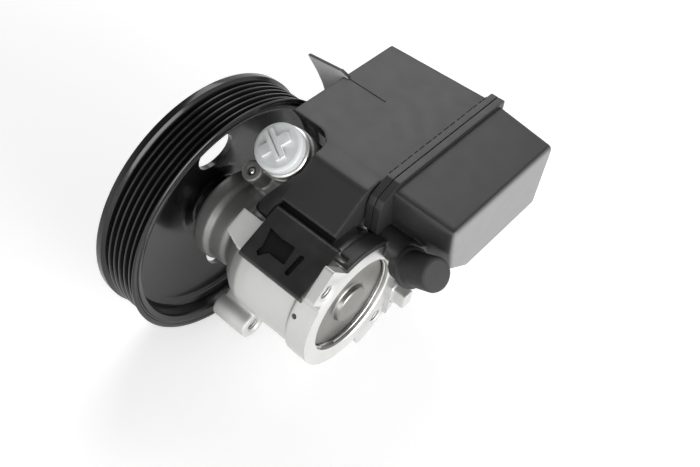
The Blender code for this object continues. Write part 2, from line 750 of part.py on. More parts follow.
def bore_profile():
    """Everything that is bored on the shaft axis, from the seal recess to the cover's bore."""
    cavity = CAVITY_RADIUS
    passage = SHAFT_RADIUS + 0.0011
    ring = cavity + COVER_RING_WIRE + 0.0001
    ring_low = COVER_RING_X - COVER_RING_WIRE - 0.0001
    ring_high = COVER_RING_X + COVER_RING_WIRE + 0.0001
    front = NOSE_X - 0.001
    beyond = REAR_FACE_X + 0.003
    profile = [(0, front), (SEAL_BORE_RADIUS, front), (SEAL_BORE_RADIUS, SEAL_FLOOR_X)]
    profile += [(BUSHING_BORE_RADIUS, SEAL_FLOOR_X), (BUSHING_BORE_RADIUS, BUSHING_FLOOR_X)]
    profile += [(passage, BUSHING_FLOOR_X), (passage, CAVITY_FLOOR_X), (cavity, CAVITY_FLOOR_X)]
    profile += [(cavity, ring_low), (ring, ring_low), (ring, ring_high), (cavity, ring_high)]
    profile += [(cavity, REAR_FACE_X - 0.0007), (cavity + 0.0037, beyond), (0, beyond)]
    return profile


def rail_outline(pad):
    """The rail under a clip, in clip coordinates; the upper one runs forward into a flat pad."""
    rear = REAR_FACE_X + 0.002 - CLIP_X
    low = CLIP_LOW_EDGE + CLIP_WALL + 0.0005
    if not pad:
        return [(-0.017, low), (0.017, low), (0.017, RAIL_HIGH_EDGE), (-0.017, RAIL_HIGH_EDGE)]
    points = [(-0.0335, -0.0108), (-0.0226, low), (rear, low), (rear, RAIL_HIGH_EDGE), (-0.0185, RAIL_HIGH_EDGE)]
    return points + [(-0.021, 0.0026), (-0.0335, 0.0026)]


def threaded_hole(name, matrix, mouth, depth, radius=LUG_HOLE_RADIUS):
    """A blind hole with a countersunk mouth at local z = mouth, opening towards +z."""
    sink = 0.0008
    profile = [(0, mouth - depth - radius * 0.5), (radius, mouth - depth), (radius, mouth - sink)]
    profile += [(radius + 2 * sink, mouth + sink), (0, mouth + sink)]
    return turned(name, profile, 16, matrix, cutter=True)


def lower_lug_outline():
    """The wide lower flange on the rear ring, as a sector round its threaded hole."""
    spread = math.radians(28)
    outer = LUG_HOLE_CIRCLE + 0.0055
    start = LOWER_LUG_ANGLE - spread
    end = LOWER_LUG_ANGLE + spread
    return [polar(0.012, start)] + arc(outer, start + 0.08, end - 0.08, 9) + [polar(0.012, end)]


def housing_castings():
    """The solids that are cast onto the turned body."""
    solids = []
    upper_lug = Matrix.Rotation(math.pi / 4, 4, "X")
    reach = LUG_HOLE_CIRCLE + 0.0061
    beyond = REAR_FACE_X + 0.002
    solids.append(solid_box("upper_lug", (0.0993, -0.0006, 0.015), (beyond, 0.0172, reach), upper_lug, 0.0012))
    solids.append(prism("lower_lug", [lower_lug_outline()], 0.0965, beyond, cutter=True))
    front_lug = shaft_frame(0, FRONT_LUG_ANGLE, LUG_HOLE_CIRCLE)
    lug_end = FRONT_LUG_X + FRONT_LUG_LENGTH
    lug = solid_cylinder("front_lug", FRONT_LUG_RADIUS, FRONT_LUG_X, lug_end, front_lug, 24)
    round_edges(lug, 0.0008, 2)
    solids.append(lug)
    web = Matrix.Rotation(FRONT_LUG_ANGLE, 4, "X")
    half = FRONT_LUG_RADIUS - 0.0015
    web_high = (lug_end - 0.0012, LUG_HOLE_CIRCLE - 0.002, half)
    solids.append(solid_box("front_lug_web", (FRONT_LUG_X + 0.0025, 0.018, -half), web_high, web, 0.002))
    for name, frame, pad in (("upper_rail", UPPER_CLIP, True), ("lower_rail", LOWER_CLIP, False)):
        rail = prism(name, [rail_outline(pad)], 0.021, RAIL_HEIGHT, frame, cutter=True)
        round_edges(rail, 0.0006, 1)
        solids.append(rail)
    boss = solid_cylinder("outlet_boss", BOSS_RADIUS, BOSS_BOTTOM, BOSS_TOP, VALVE, 36)
    round_edges(boss, 0.0006, 1)
    solids.append(boss)
    low = (-0.0118, -0.0215, BOSS_BOTTOM + 0.006)
    solids.append(solid_box("boss_web", low, (0.0118, 0.0, BOSS_TOP - 0.0105), VALVE, 0.003))
    lug_place = VALVE @ Matrix.Translation((SMALL_LUG_X - VALVE_X, SMALL_LUG_SIDE, 0))
    small = solid_cylinder("small_lug", SMALL_LUG_RADIUS, 0.008, SMALL_LUG_TOP, lug_place, 20)
    round_edges(small, 0.0005, 1)
    solids.append(small)
    solids.append(solid_cylinder("inlet_boss", INLET_BOSS_RADIUS, CAVITY_RADIUS - 0.0025, INLET_FACE, INLET, 24))
    return solids


def build_housing():
    housing = turned("housing", housing_profile(), 40)
    join(housing, *housing_castings())
    beyond = REAR_FACE_X + 0.006
    cut(housing, solid_box("rear_facing", (REAR_FACE_X, -0.08, -0.08), (beyond, 0.08, 0.08), Matrix.Identity(4)))
    stub_low = (STUB_X, REAR_RING_RADIUS - STUB_INNER, STUB_LOW_Z)
    stub_high = (STUB_X + STUB_LENGTH, REAR_RING_RADIUS + STUB_OUTER, STUB_HIGH_Z)
    stub = solid_box("rear_stub", stub_low, stub_high, Matrix.Identity(4), 0.0008)
    join(housing, stub)
    cut(housing, turned("shaft_bores", bore_profile(), 40, cutter=True))
    for name, angle in (("upper_hole", UPPER_LUG_ANGLE), ("lower_hole", LOWER_LUG_ANGLE)):
        cut(housing, threaded_hole(name, shaft_frame(0, angle, LUG_HOLE_CIRCLE), REAR_FACE_X, 0.011))
    lug_end = FRONT_LUG_X + FRONT_LUG_LENGTH
    cut(housing, threaded_hole("front_hole", shaft_frame(0, FRONT_LUG_ANGLE, LUG_HOLE_CIRCLE), lug_end, 0.016))
    pin_hole = shaft_frame(0, LOCATING_HOLE_ANGLE, LUG_HOLE_CIRCLE)
    cut(housing, solid_cylinder("locating_hole", LOCATING_HOLE_RADIUS, REAR_FACE_X - 0.005, beyond, pin_hole, 12))
    port = UNION_BOTTOM - 0.0008
    valve_bore = [(0, VALVE_BORE_BOTTOM - 0.003), (VALVE_BORE_RADIUS, VALVE_BORE_BOTTOM), (VALVE_BORE_RADIUS, port)]
    thread = UNION_THREAD_RADIUS + GAP
    valve_bore += [(thread, port), (thread, BOSS_TOP + 0.002), (0, BOSS_TOP + 0.002)]
    cut(housing, turned("valve_bore", valve_bore, 24, VALVE, cutter=True))
    lug_place = VALVE @ Matrix.Translation((SMALL_LUG_X - VALVE_X, SMALL_LUG_SIDE, 0))
    cut(housing, solid_cylinder("passage", BALL_RADIUS + GAP, SMALL_LUG_TOP - 0.012, 0.04, lug_place, 14))
    seal_seat = INLET_RADIUS + 2 * SEAL_SECTION
    floor = CAVITY_RADIUS - 0.0045
    inlet = [(0, floor), (INLET_RADIUS, floor), (INLET_RADIUS, INLET_FACE - 0.003)]
    inlet += [(seal_seat, INLET_FACE - 0.003), (seal_seat, INLET_FACE + 0.001), (0, INLET_FACE + 0.001)]
    cut(housing, turned("inlet_bore", inlet, 20, INLET, cutter=True))
    punch = Matrix.Rotation(PUNCH_HOLE_ANGLE - math.pi / 2, 4, "X") @ Matrix.Translation((PUNCH_HOLE_X, 0, 0))
    cut(housing, solid_cylinder("punch_hole", PUNCH_HOLE_RADIUS, 0.030, 0.040, punch, 12))
    return finish(housing, (0.60, 0.60, 0.60), 0.5, 0.7)


# Outlet and flow-control valve


def build_union():
    top = UNION_TOP
    flange = BOSS_TOP + GAP
    rim = UNION_FLANGE_RADIUS
    thread = UNION_THREAD_RADIUS
    socket = UNION_SOCKET_RADIUS
    groove = thread - 0.0015
    profile = [(UNION_BORE_RADIUS, UNION_BOTTOM), (thread - 0.0006, UNION_BOTTOM), (thread, UNION_BOTTOM + 0.0006)]
    profile += [(thread, flange - 0.003), (groove, flange - 0.003), (groove, flange - 0.0008)]
    profile += [(thread, flange - 0.0008), (thread, flange), (rim - 0.0003, flange), (rim, flange + 0.0003)]
    profile += [(rim, top - 0.0008), (rim - 0.0008, top), (socket + 0.0006, top), (socket, top - 0.0006)]
    profile += [(socket, top - UNION_SOCKET_DEPTH), (UNION_BORE_RADIUS, top - UNION_SOCKET_DEPTH - 0.0017)]
    return finish(turned("outlet_union", profile, 24, VALVE), (0.75, 0.75, 0.76), 0.3, 1.0)


def build_union_seal():
    height = BOSS_TOP + GAP - 0.0019
    return seal_ring("outlet_union_o_ring", UNION_THREAD_RADIUS - 0.0006, 0.0006, height, VALVE, 20)


def build_plug():
    """The transport plug: a short shank, a thick round head and a raised cross split by a slit."""
    low = UNION_TOP + GAP
    top = low + PLUG_HEAD_HEIGHT
    rim = PLUG_HEAD_RADIUS
    shank = UNION_SOCKET_RADIUS - GAP
    bottom = low - PLUG_SHANK_LENGTH
    profile = [(0, bottom), (shank - 0.001, bottom), (shank, bottom + 0.001), (shank, low), (rim - 0.0008, low)]
    profile += [(rim, low + 0.0008), (rim, top - 0.0016), (rim - 0.0005, top - 0.0005), (rim - 0.0016, top)]
    profile += [(0, top)]
    plug = turned("outlet_plug", profile, 28, VALVE)
    for i, name in enumerate(("plug_arm_a", "plug_arm_b")):
        turn = VALVE @ Matrix.Rotation(math.radians(12 + 90 * i), 4, "Z")
        arm = solid_box(name, (-0.0024, -0.0094, top - 0.001), (0.0024, 0.0094, top + PLUG_CROSS_HEIGHT), turn, 0.0005)
        join(plug, arm)
    turn = VALVE @ Matrix.Rotation(math.radians(12), 4, "Z")
    slit_top = top + PLUG_CROSS_HEIGHT + 0.001
    cut(plug, solid_box("plug_slit", (-0.0004, -0.012, top + 0.0003), (0.0004, 0.012, slit_top), turn))
    return finish(plug, (0.75, 0.76, 0.76), 0.35)


def build_spool():
    radius = VALVE_BORE_RADIUS - GAP
    waist = SPOOL_WAIST_RADIUS
    top = UNION_BOTTOM - GAP
    low = top - SPOOL_LENGTH
    profile = [(0, top), (waist, top), (radius, top - 0.003), (radius, top - 0.009), (waist, top - 0.0095)]
    profile += [(waist, low + 0.0135), (radius, low + 0.013), (radius, low), (waist - 0.001, low)]
    profile += [(waist - 0.001, low + 0.004), (0, low + 0.005)]
    return finish(turned("flow_control_spool", profile, 16, VALVE), (0.5, 0.5, 0.52), 0.25, 1.0)


def build_spool_spring():
    thin = SPOOL_SPRING_WIRE
    low = VALVE_BORE_BOTTOM + thin + GAP
    high = UNION_BOTTOM - GAP - SPOOL_LENGTH - thin - GAP
    points = coil(SPOOL_WAIST_RADIUS + 0.0008, low, high, SPOOL_SPRING_TURNS, SPOOL_SPRING_TURNS * 8)
    return finish(wire("spool_spring", points, thin, matrix=VALVE), (0.35, 0.35, 0.36), 0.3, 1.0)


def build_passage_plug():
    place = VALVE @ Matrix.Translation((SMALL_LUG_X - VALVE_X, SMALL_LUG_SIDE, SMALL_LUG_TOP - 0.0022))
    return finish(ball("passage_plug", BALL_RADIUS, place, 12), (0.55, 0.55, 0.56), 0.25, 1.0)


# Reservoir


def tank_outline():
    """The tank's section across the shaft, counter-clockwise in (y, z), seen from the rear."""
    top = RESERVOIR_TOP_Z
    low = RESERVOIR_BOTTOM_Z
    far = RESERVOIR_FAR_Y
    near = RESERVOIR_NEAR_Y
    points = [(near, top), (near + 0.003, top - 0.018), (near + 0.0075, low + 0.012), (near + 0.0245, low)]
    return points + [(far, low), (far - 0.0025, top)]


def tank_prism(name, shrink, low, high, cutter=False):
    radii = [max(0.0032 - shrink, 0.0008)] * 6
    return prism(name, [rounded(inset(tank_outline(), shrink), radii)], low, high, cutter=cutter)


def flange_outline():
    """The seam's flange, which reaches further towards the pump than the tank's wall does."""
    top = RESERVOIR_TOP_Z + SEAM_FLANGE_HEIGHT
    low = RESERVOIR_BOTTOM_Z - SEAM_FLANGE_HEIGHT
    far = RESERVOIR_FAR_Y + SEAM_FLANGE_HEIGHT
    near = RESERVOIR_NEAR_Y
    foot = polar(REAR_RING_RADIUS + SEAM_RIM_CLEARANCE, math.radians(63.4))
    heel = polar(REAR_RING_RADIUS + SEAM_RIM_CLEARANCE, math.radians(37.5))
    points = [(near + 0.0045, top), (near - 0.006, top - 0.0048), (foot[0], top - 0.0092), foot, heel]
    return rounded(points + [(near + 0.023, low), (far, low), (far - 0.0025, top)], 0.0025)


def clip_point(across, rise):
    """A (y, z) point given across the upper clip's plate and above its underside."""
    spot = Matrix.Rotation(CLIP_TILT, 4, "X") @ Vector((0, across, CLIP_HEIGHT + rise))
    return (spot.y, spot.z)


def shoulder_outline(shrink=0.0):
    """The sloping side of the tank that reaches over the pump to the upper clip."""
    top = RESERVOIR_TOP_Z - 0.0001
    points = [(0.036, top), (0.0165, top), clip_point(0.0156, 0.0025), clip_point(0.0162, -0.0024)]
    points += [clip_point(0.0276, -0.0081), clip_point(0.0485, -0.0199)]
    if shrink:
        return inset(points, shrink)
    return rounded(points, [0, 0.006, 0.0008, 0, 0, 0], 5)


def outlet_notch(name, extra):
    """Room for the outlet fitting, cut along the fitting's own axis."""
    side = 0.0143 + extra
    back = 0.0206 + extra
    corner = 0.009
    outline = [(-0.05, back)]
    outline += arc(corner, math.pi / 2, 0, 6, (side - corner, back - corner))
    outline += arc(side, 0, -math.radians(145), 12)
    outline.append((-0.05, -side * math.sin(math.radians(145))))
    outline[-1] = (-0.05, outline[-2][1])
    return prism(name, [outline[::-1]], -0.09, 0.06, VALVE, cutter=True)


def clip_tongue(name, frame, foot):
    """The plate under a clip and the upright rib that the clip's long leg pulls on."""
    end = REAR_RING_X - CLIP_X - SLIDE_GAP
    rib_low = RAIL_HIGH_EDGE + GAP
    rib_high = CLIP_HIGH_EDGE - CLIP_WALL - SLIDE_GAP
    edge = CLIP_LOW_EDGE + 0.0055
    base = TONGUE_HEIGHT - TONGUE_WALL
    floor = BODY_RADIUS - 0.0002
    outline = [(-end, edge), (end, edge), (end, rib_high), (-end, rib_high)]
    start = -end
    if foot:
        start = -0.0282
        outline = [(-end, edge), (end, edge), (end, rib_high), (start, rib_high), (start, 0.0052), (-end, 0.0034)]
    plate = prism(name + "_plate", [rounded(outline, 0.0008, 3)], base, TONGUE_HEIGHT, frame, cutter=True)
    rib_box = ((start + 0.0008, rib_low, floor), (end - 0.0008, rib_high - 0.0003, TONGUE_HEIGHT - 0.0003))
    rib = solid_box(name + "_rib", *rib_box, frame)
    wall = ((start + 0.0016, rib_low + 0.0006, floor + 0.0002), (end - 0.0016, 0.018, floor + 0.0011))
    return [plate, rib, solid_box(name + "_floor", *wall, frame)]


def fin_outline():
    """The pointed fin that stands forward over the pulley, in (x, z)."""
    top = RESERVOIR_TOP_Z
    wall = RESERVOIR_FRONT_X + 0.0012
    low = [(0.0125, top - 0.0068), (0.0165, top - 0.0115), (0.0198, top - 0.0168), (0.0242, top - 0.0265)]
    high = [(wall, top + 0.0012), (wall - 0.0035, top + 0.0022), (wall - 0.0045, top + 0.0018)]
    return [(0.0057, top - 0.0008)] + low + [(wall, top - 0.036)] + high


def build_reservoir_front():
    end = SEAM_X - GAP / 2
    draft = 0.965
    middle = (RESERVOIR_NEAR_Y, RESERVOIR_TOP_Z)
    tank = tank_prism("reservoir_front", 0.0, RESERVOIR_FRONT_X, end - 0.001)
    taper(tank, False, middle, draft)
    round_edges(tank, 0.0012, 2)
    bump = (0.0565, 0.0865)
    leg = (0.0615, 0.0865)
    shoulder = prism("shoulder", [shoulder_outline()], *bump, cutter=True)
    lower = prism("lower_leg", [shoulder_outline()], *leg, HALF_TURN @ AXIAL, cutter=True)
    flange = prism("front_flange", [flange_outline()], end - SEAM_FLANGE_WIDTH, end, cutter=True)
    neck = solid_cylinder("filler_neck", NECK_RADIUS, RESERVOIR_FAR_Y - 0.008, NECK_Y, FILLER, 28)
    join(tank, shoulder, lower, flange, neck)
    join(tank, *clip_tongue("upper_tongue", UPPER_CLIP, True), *clip_tongue("lower_tongue", LOWER_CLIP, False))
    upright = Matrix.Translation((0, FIN_Y, 0)) @ Matrix.Rotation(math.pi / 2, 4, "X")
    join(tank, prism("fin", [fin_outline()], -FIN_WALL / 2, FIN_WALL / 2, upright, cutter=True))
    rib_low = (RESERVOIR_FRONT_X + 0.0012, FIN_Y - 0.0005, RESERVOIR_TOP_Z - 0.001)
    rib_high = (RESERVOIR_FRONT_X + 0.027, FIN_Y + 0.0005, RESERVOIR_TOP_Z + 0.0005)
    join(tank, solid_box("top_line", rib_low, rib_high, Matrix.Identity(4)))
    face = INLET_FACE
    spigot_boss = solid_cylinder("spigot_boss", INLET_BOSS_RADIUS - 0.0005, face + SLIDE_GAP, face + 0.011, INLET, 24)
    spigot = solid_cylinder("spigot", INLET_RADIUS - 0.0008, face - 0.009, face + 0.006, INLET, 20)
    join(tank, spigot_boss, spigot)
    cut(tank, outlet_notch("notch", 0.0))
    wall = RESERVOIR_WALL
    cavity = tank_prism("front_hollow", wall, RESERVOIR_FRONT_X + wall, end + 0.001, cutter=True)
    taper(cavity, False, middle, draft)
    join(cavity, prism("shoulder_hollow", [shoulder_outline(wall)], bump[0] + wall, bump[1] - wall, cutter=True))
    place = HALF_TURN @ AXIAL
    join(cavity, prism("leg_hollow", [shoulder_outline(wall)], leg[0] + wall, leg[1] - wall, place, cutter=True))
    cut(cavity, outlet_notch("notch_wall", wall))
    cut(tank, cavity)
    cut(tank, solid_cylinder("filler_bore", NECK_BORE_RADIUS, RESERVOIR_FAR_Y - 0.009, NECK_Y + 0.001, FILLER, 24))
    cut(tank, solid_cylinder("spigot_bore", INLET_RADIUS - 0.0028, face - 0.010, face + 0.016, INLET, 16))
    return finish(tank, (0.022, 0.022, 0.024), 0.5)


def sector(inner, outer, start, end):
    """Part of a ring round the shaft, from below to above the rear ring's surface, in (y, z)."""
    low = REAR_RING_RADIUS - inner
    high = REAR_RING_RADIUS + SKIRT_CLEARANCE + outer
    angles = (math.radians(start), math.radians(end))
    return arc(high, *angles, 12) + arc(low, *angles[::-1], 12)


def build_reservoir_rear():
    start = SEAM_X + GAP / 2
    draft = 0.944
    tank = tank_prism("reservoir_rear", 0.0, start + 0.001, RESERVOIR_REAR_X)
    middle = (0.0577, RESERVOIR_BOTTOM_Z)
    taper(tank, True, middle, draft)
    round_edges(tank, 0.0024, 3)
    flange = prism("rear_flange", [flange_outline()], start, start + SEAM_FLANGE_WIDTH, cutter=True)
    bend = Vector((HOOD_X, RESERVOIR_NEAR_Y - HOOD_SETBACK, HOOD_Z))
    along = Matrix.Translation((0, bend.y, bend.z)) @ AXIAL
    hood = solid_cylinder("return_hood", HOOD_RADIUS, start + 0.0023, HOOD_X, along, 28)
    half = HOOD_RADIUS - 0.0025
    web_low = (start + 0.0025, bend.y, bend.z - half)
    web_high = (HOOD_X + half - 0.0002, bend.y + 0.0105, bend.z + half)
    web = solid_box("hood_web", web_low, web_high, Matrix.Identity(4), 0.0006)
    skirt = prism("pump_skirt", [sector(0.0, SKIRT_WALL, 45, 104.5)], SKIRT_X, SKIRT_END_X, cutter=True)
    join(tank, flange, hood, web, skirt, ball("elbow", HOOD_RADIUS + 0.0002, Matrix.Translation(bend), 24, True))
    slot = sector(0.001, SKIRT_WALL + 0.002, 98, 103)
    cut(tank, prism("skirt_slot", [slot], SKIRT_X - 0.001, 0.101, cutter=True))
    clearance = REAR_RING_RADIUS + SKIRT_CLEARANCE
    cut(tank, solid_cylinder("pump_clearance", clearance, 0.09, REAR_FACE_X + SLIDE_GAP, AXIAL, 40))
    join(tank, solid_cylinder("nipple_root", HOOD_RADIUS, -0.008, -0.0006, NIPPLE, 24))
    cut(tank, solid_cylinder("cap_room", DUST_CAP_FLANGE_RADIUS + 0.0008, -0.0012, 0.0026, NIPPLE, 24))
    tube = [(0, -0.006), (NIPPLE_RADIUS, -0.006), (NIPPLE_RADIUS, NIPPLE_LENGTH - 0.001)]
    tube += [(NIPPLE_RADIUS - 0.0008, NIPPLE_LENGTH), (0, NIPPLE_LENGTH)]
    join(tank, turned("nipple_tube", tube, 20, NIPPLE, cutter=True))
    wall = RESERVOIR_WALL
    hollow = tank_prism("rear_hollow", wall, start - 0.001, RESERVOIR_REAR_X - wall, cutter=True)
    taper(hollow, True, middle, draft)
    cut(tank, hollow)
    cut(tank, solid_cylinder("nipple_bore", NIPPLE_BORE_RADIUS, -0.006, NIPPLE_LENGTH + 0.001, NIPPLE, 16))
    cut(tank, ball("bend_room", NIPPLE_BORE_RADIUS, Matrix.Translation(bend), 16, True))
    passage = Matrix.Translation(bend) @ Matrix.Rotation(-math.pi / 2, 4, "X")
    cut(tank, solid_cylinder("return_passage", NIPPLE_BORE_RADIUS - 0.001, -0.001, 0.0145, passage, 14))
    return finish(tank, (0.022, 0.022, 0.024), 0.5)


def build_filler_cap():
    low = NECK_Y - CAP_SKIRT
    seat = NECK_Y + GAP + GASKET_WALL + GAP
    top = seat + CAP_TOP_WALL
    inner = NECK_RADIUS + SLIDE_GAP
    rim = CAP_RADIUS
    profile = [(0, top), (rim - 0.002, top), (rim - 0.0006, top - 0.0006), (rim, top - 0.002)]
    profile += [(rim, low), (inner, low), (inner, seat), (0, seat)]
    return finish(turned("filler_cap", profile, 24, FILLER), (0.02, 0.02, 0.02), 0.5)


def build_cap_gasket():
    low = NECK_Y + GAP
    inner = NECK_BORE_RADIUS + 0.0002
    outer = NECK_RADIUS - 0.0002
    profile = [(inner, low), (outer, low), (outer, low + GASKET_WALL), (inner, low + GASKET_WALL)]
    return finish(turned("filler_cap_gasket", profile, 24, FILLER), (0.03, 0.03, 0.03), 0.7)


def build_inlet_seal():
    radius = INLET_RADIUS - 0.0008 + GAP + SEAL_SECTION
    return seal_ring("inlet_seal", radius, SEAL_SECTION, INLET_FACE - 0.0014, INLET, 20)


def build_dust_cap():
    """A stretched rubber cap with a flange, over the return nipple."""
    inner = NIPPLE_RADIUS + GAP
    outer = DUST_CAP_RADIUS
    flange = DUST_CAP_FLANGE_RADIUS
    end = DUST_CAP_LENGTH
    profile = [(0, end), (outer - 0.0016, end), (outer - 0.0004, end - 0.0005), (outer, end - 0.0016)]
    profile += [(outer, 0.0024), (flange - 0.0004, 0.0021), (flange, 0.0014), (flange, 0.0002)]
    profile += [(flange - 0.0005, -0.0003), (inner, -0.0003), (inner, end - DUST_CAP_END_WALL)]
    profile += [(0, end - DUST_CAP_END_WALL)]
    return finish(turned("return_dust_cap", profile, 20, NIPPLE), (0.03, 0.03, 0.03), 0.7)


# Clips


def clip_section():
    """A flat plate with both long edges bent down, in clip coordinates (across, height)."""
    top = CLIP_HEIGHT + CLIP_WALL
    low = CLIP_LOW_EDGE
    high = CLIP_HIGH_EDGE
    wall = CLIP_WALL
    outer = [(low, top - CLIP_LONG_LEG), (low, top), (high, top), (high, top - CLIP_SHORT_LEG)]
    inner = [(high - wall, top - CLIP_SHORT_LEG), (high - wall, top - wall)]
    inner += [(low + wall, top - wall), (low + wall, top - CLIP_LONG_LEG)]
    radii = [0, wall + 0.0008, wall + 0.0009, 0, 0, 0.0009, 0.0008, 0]
    return rounded(outer + inner, radii, 4)


def clip_windows(name):
    """The latch window, its two side cuts and the oblong slot, in clip coordinates (along, across)."""
    square = rounded([(-0.0066, -0.0077), (0.0029, -0.0077), (0.0018, 0.0018), (-0.0066, 0.0014)], 0.0006, 3)
    tail = [(-0.0079, 0.0012), (-0.0143, 0.0022), (-0.0119, -0.0065), (-0.0125, -0.0102), (-0.0102, -0.0117), (-0.0079, -0.0088)]
    slot = arc(0.0014, 0, math.pi, 7, (0.0072, -0.0005)) + arc(0.0014, math.pi, 2 * math.pi, 7, (0.0066, -0.0093))
    return {name + "_square": square, name + "_tail": tail, name + "_slot": slot}


def build_clip(name, frame):
    half = CLIP_LENGTH / 2
    clip = prism(name, [clip_section()], -half, half, frame @ AXIAL)
    for cutter_name, outline in clip_windows(name).items():
        cut(clip, prism(cutter_name, [outline], CLIP_HEIGHT - 0.003, CLIP_HEIGHT + 0.004, frame, cutter=True))
    return finish(clip, (0.045, 0.045, 0.048), 0.45, 0.8)


clear_scene()
PARTS = new_collection("power_steering_pump")
CUTTERS = new_collection("cutters")

build_pulley()
build_shaft()
build_bushing()
build_seal()
build_thrust_plate()
build_cam_ring()
build_rotor()
build_vanes()
build_rotor_ring()
build_pressure_plate()
build_dowels()
seal_ring("pressure_plate_o_ring", CAVITY_RADIUS - 0.0012, 0.0008, PLATE_REAR_X + 0.0011, AXIAL, 24)
build_plate_spring()
build_end_cover()
build_end_cover_seal()
build_cover_ring()
build_housing()
build_union()
build_union_seal()
build_plug()
build_spool()
build_spool_spring()
build_passage_plug()
build_reservoir_front()
build_reservoir_rear()
build_filler_cap()
build_cap_gasket()
build_inlet_seal()
build_dust_cap()
build_clip("upper_clip", UPPER_CLIP)
build_clip("lower_clip", LOWER_CLIP)
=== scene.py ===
import math

import bmesh
import bpy
from mathutils import Matrix, Vector


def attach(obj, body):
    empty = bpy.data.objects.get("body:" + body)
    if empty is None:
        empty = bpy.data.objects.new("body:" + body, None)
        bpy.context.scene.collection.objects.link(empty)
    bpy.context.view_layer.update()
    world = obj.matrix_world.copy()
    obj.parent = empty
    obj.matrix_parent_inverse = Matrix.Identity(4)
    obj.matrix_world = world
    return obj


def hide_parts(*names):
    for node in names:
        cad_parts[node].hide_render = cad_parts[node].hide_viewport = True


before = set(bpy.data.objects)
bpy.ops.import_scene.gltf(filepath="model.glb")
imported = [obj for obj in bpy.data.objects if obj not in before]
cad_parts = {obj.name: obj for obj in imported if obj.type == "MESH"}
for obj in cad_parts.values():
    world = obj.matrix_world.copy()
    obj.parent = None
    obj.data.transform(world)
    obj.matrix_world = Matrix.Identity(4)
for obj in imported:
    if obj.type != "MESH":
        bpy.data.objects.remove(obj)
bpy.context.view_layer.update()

# Units and frames. The object's sizes are in millimetres. Matrices, and the places of the camera, the floor
# and the lamps, are in metres.

MM = 0.001
SCENE = bpy.context.scene

REAR_FACE = 104.8
BOLT_RADIUS = 39.1
CLIP_MIDDLE = 76.5
VALVE_PLACE = (43.6, 40.4)
VALVE_TILT = math.atan2(0.6, 0.8)
UPPER_CLIP_TURN = math.radians(27)
FILLER_PLACE = (62, 0, 25.5)
NIPPLE_PLACE = (119.5, 19, 26.3)
ELBOW_PLACE = (113.2, 23.9, 26.1)
FOOT_LUG_ANGLE = math.radians(-135)
REAR_LUG_ANGLES = (math.radians(125.6), math.radians(-54.3))


def shift(x, y=0.0, z=0.0):
    return Matrix.Translation((x * MM, y * MM, z * MM))


# AXIAL turns a frame's z axis onto the shaft. The others stand at the valve, the clips, the inlet, the filler
# neck, the return nipple and the fin.

AXIAL = Matrix(((0, 0, 1, 0), (1, 0, 0, 0), (0, 1, 0, 0), (0, 0, 0, 1)))
VALVE = Matrix.Rotation(VALVE_TILT, 4, "X") @ shift(*VALVE_PLACE)
SMALL_LUG = VALVE @ shift(-9.3, -16.2)
UPPER = shift(CLIP_MIDDLE) @ Matrix.Rotation(UPPER_CLIP_TURN, 4, "X")
HALF_TURN = shift(CLIP_MIDDLE) @ Matrix.Rotation(math.pi, 4, Vector((0, 1, 1))) @ shift(-CLIP_MIDDLE)
LOWER = HALF_TURN @ UPPER
INLET = shift(CLIP_MIDDLE) @ Matrix.Rotation(-math.pi / 4, 4, "X")
FILLER = shift(*FILLER_PLACE) @ Matrix.Rotation(-math.pi / 2, 4, "X")
NIPPLE_AXIS = Vector((0.79, -0.18, 0.59)).normalized()
NIPPLE = shift(*NIPPLE_PLACE) @ NIPPLE_AXIS.to_track_quat("Z", "Y").to_matrix().to_4x4()
FIN_FRAME = shift(0, 70) @ Matrix.Rotation(math.pi / 2, 4, "X")


# Outlines


def spot(radius, angle, center=(0, 0)):
    return center[0] + radius * math.cos(angle), center[1] + radius * math.sin(angle)


def arc(radius, start, end, count, center=(0, 0)):
    turns = [start + (end - start) * k / (count - 1) for k in range(count)]
    return [spot(radius, t, center) for t in turns]


def band(inner, outer, start, end, count):
    """A piece of a ring between two radii and two angles in degrees."""
    turns = (math.radians(start), math.radians(end))
    return arc(outer, *turns, count) + arc(inner, *turns[::-1], count)


def soften(points, radius, closed=True, count=3):
    """Rounds the corners of an outline, as far as its sides allow."""
    result = []
    total = len(points)
    for i, here in enumerate(points):
        if not closed and i in (0, total - 1):
            result.append(here)
            continue
        p = Vector(here)
        before = Vector(points[i - 1]) - p
        after = Vector(points[(i + 1) % total]) - p
        size = radius[i] if isinstance(radius, (list, tuple)) else radius
        if size <= 0 or before.length < 1e-6 or after.length < 1e-6:
            result.append(here)
            continue
        half = before.angle(after) / 2
        if half > math.radians(88) or half < 0.01:
            result.append(here)
            continue
        reach = min(size / math.tan(half), before.length * 0.48, after.length * 0.48)
        start = p + before.normalized() * reach
        end = p + after.normalized() * reach
        for k in range(count + 1):
            t = k / count
            a = start.lerp(p, t)
            b = p.lerp(end, t)
            result.append(tuple(a.lerp(b, t)))
    return result


# Solids


def add(name, bm, matrix=None, angle=35):
    if matrix is not None:
        bm.transform(matrix)
    bmesh.ops.recalc_face_normals(bm, faces=bm.faces)
    mesh = bpy.data.meshes.new(name)
    bm.to_mesh(mesh)
    bm.free()
    mesh.shade_smooth()
    mesh.set_sharp_from_angle(angle=math.radians(angle))
    obj = bpy.data.objects.new(name, mesh)
    SCENE.collection.objects.link(obj)
    return obj


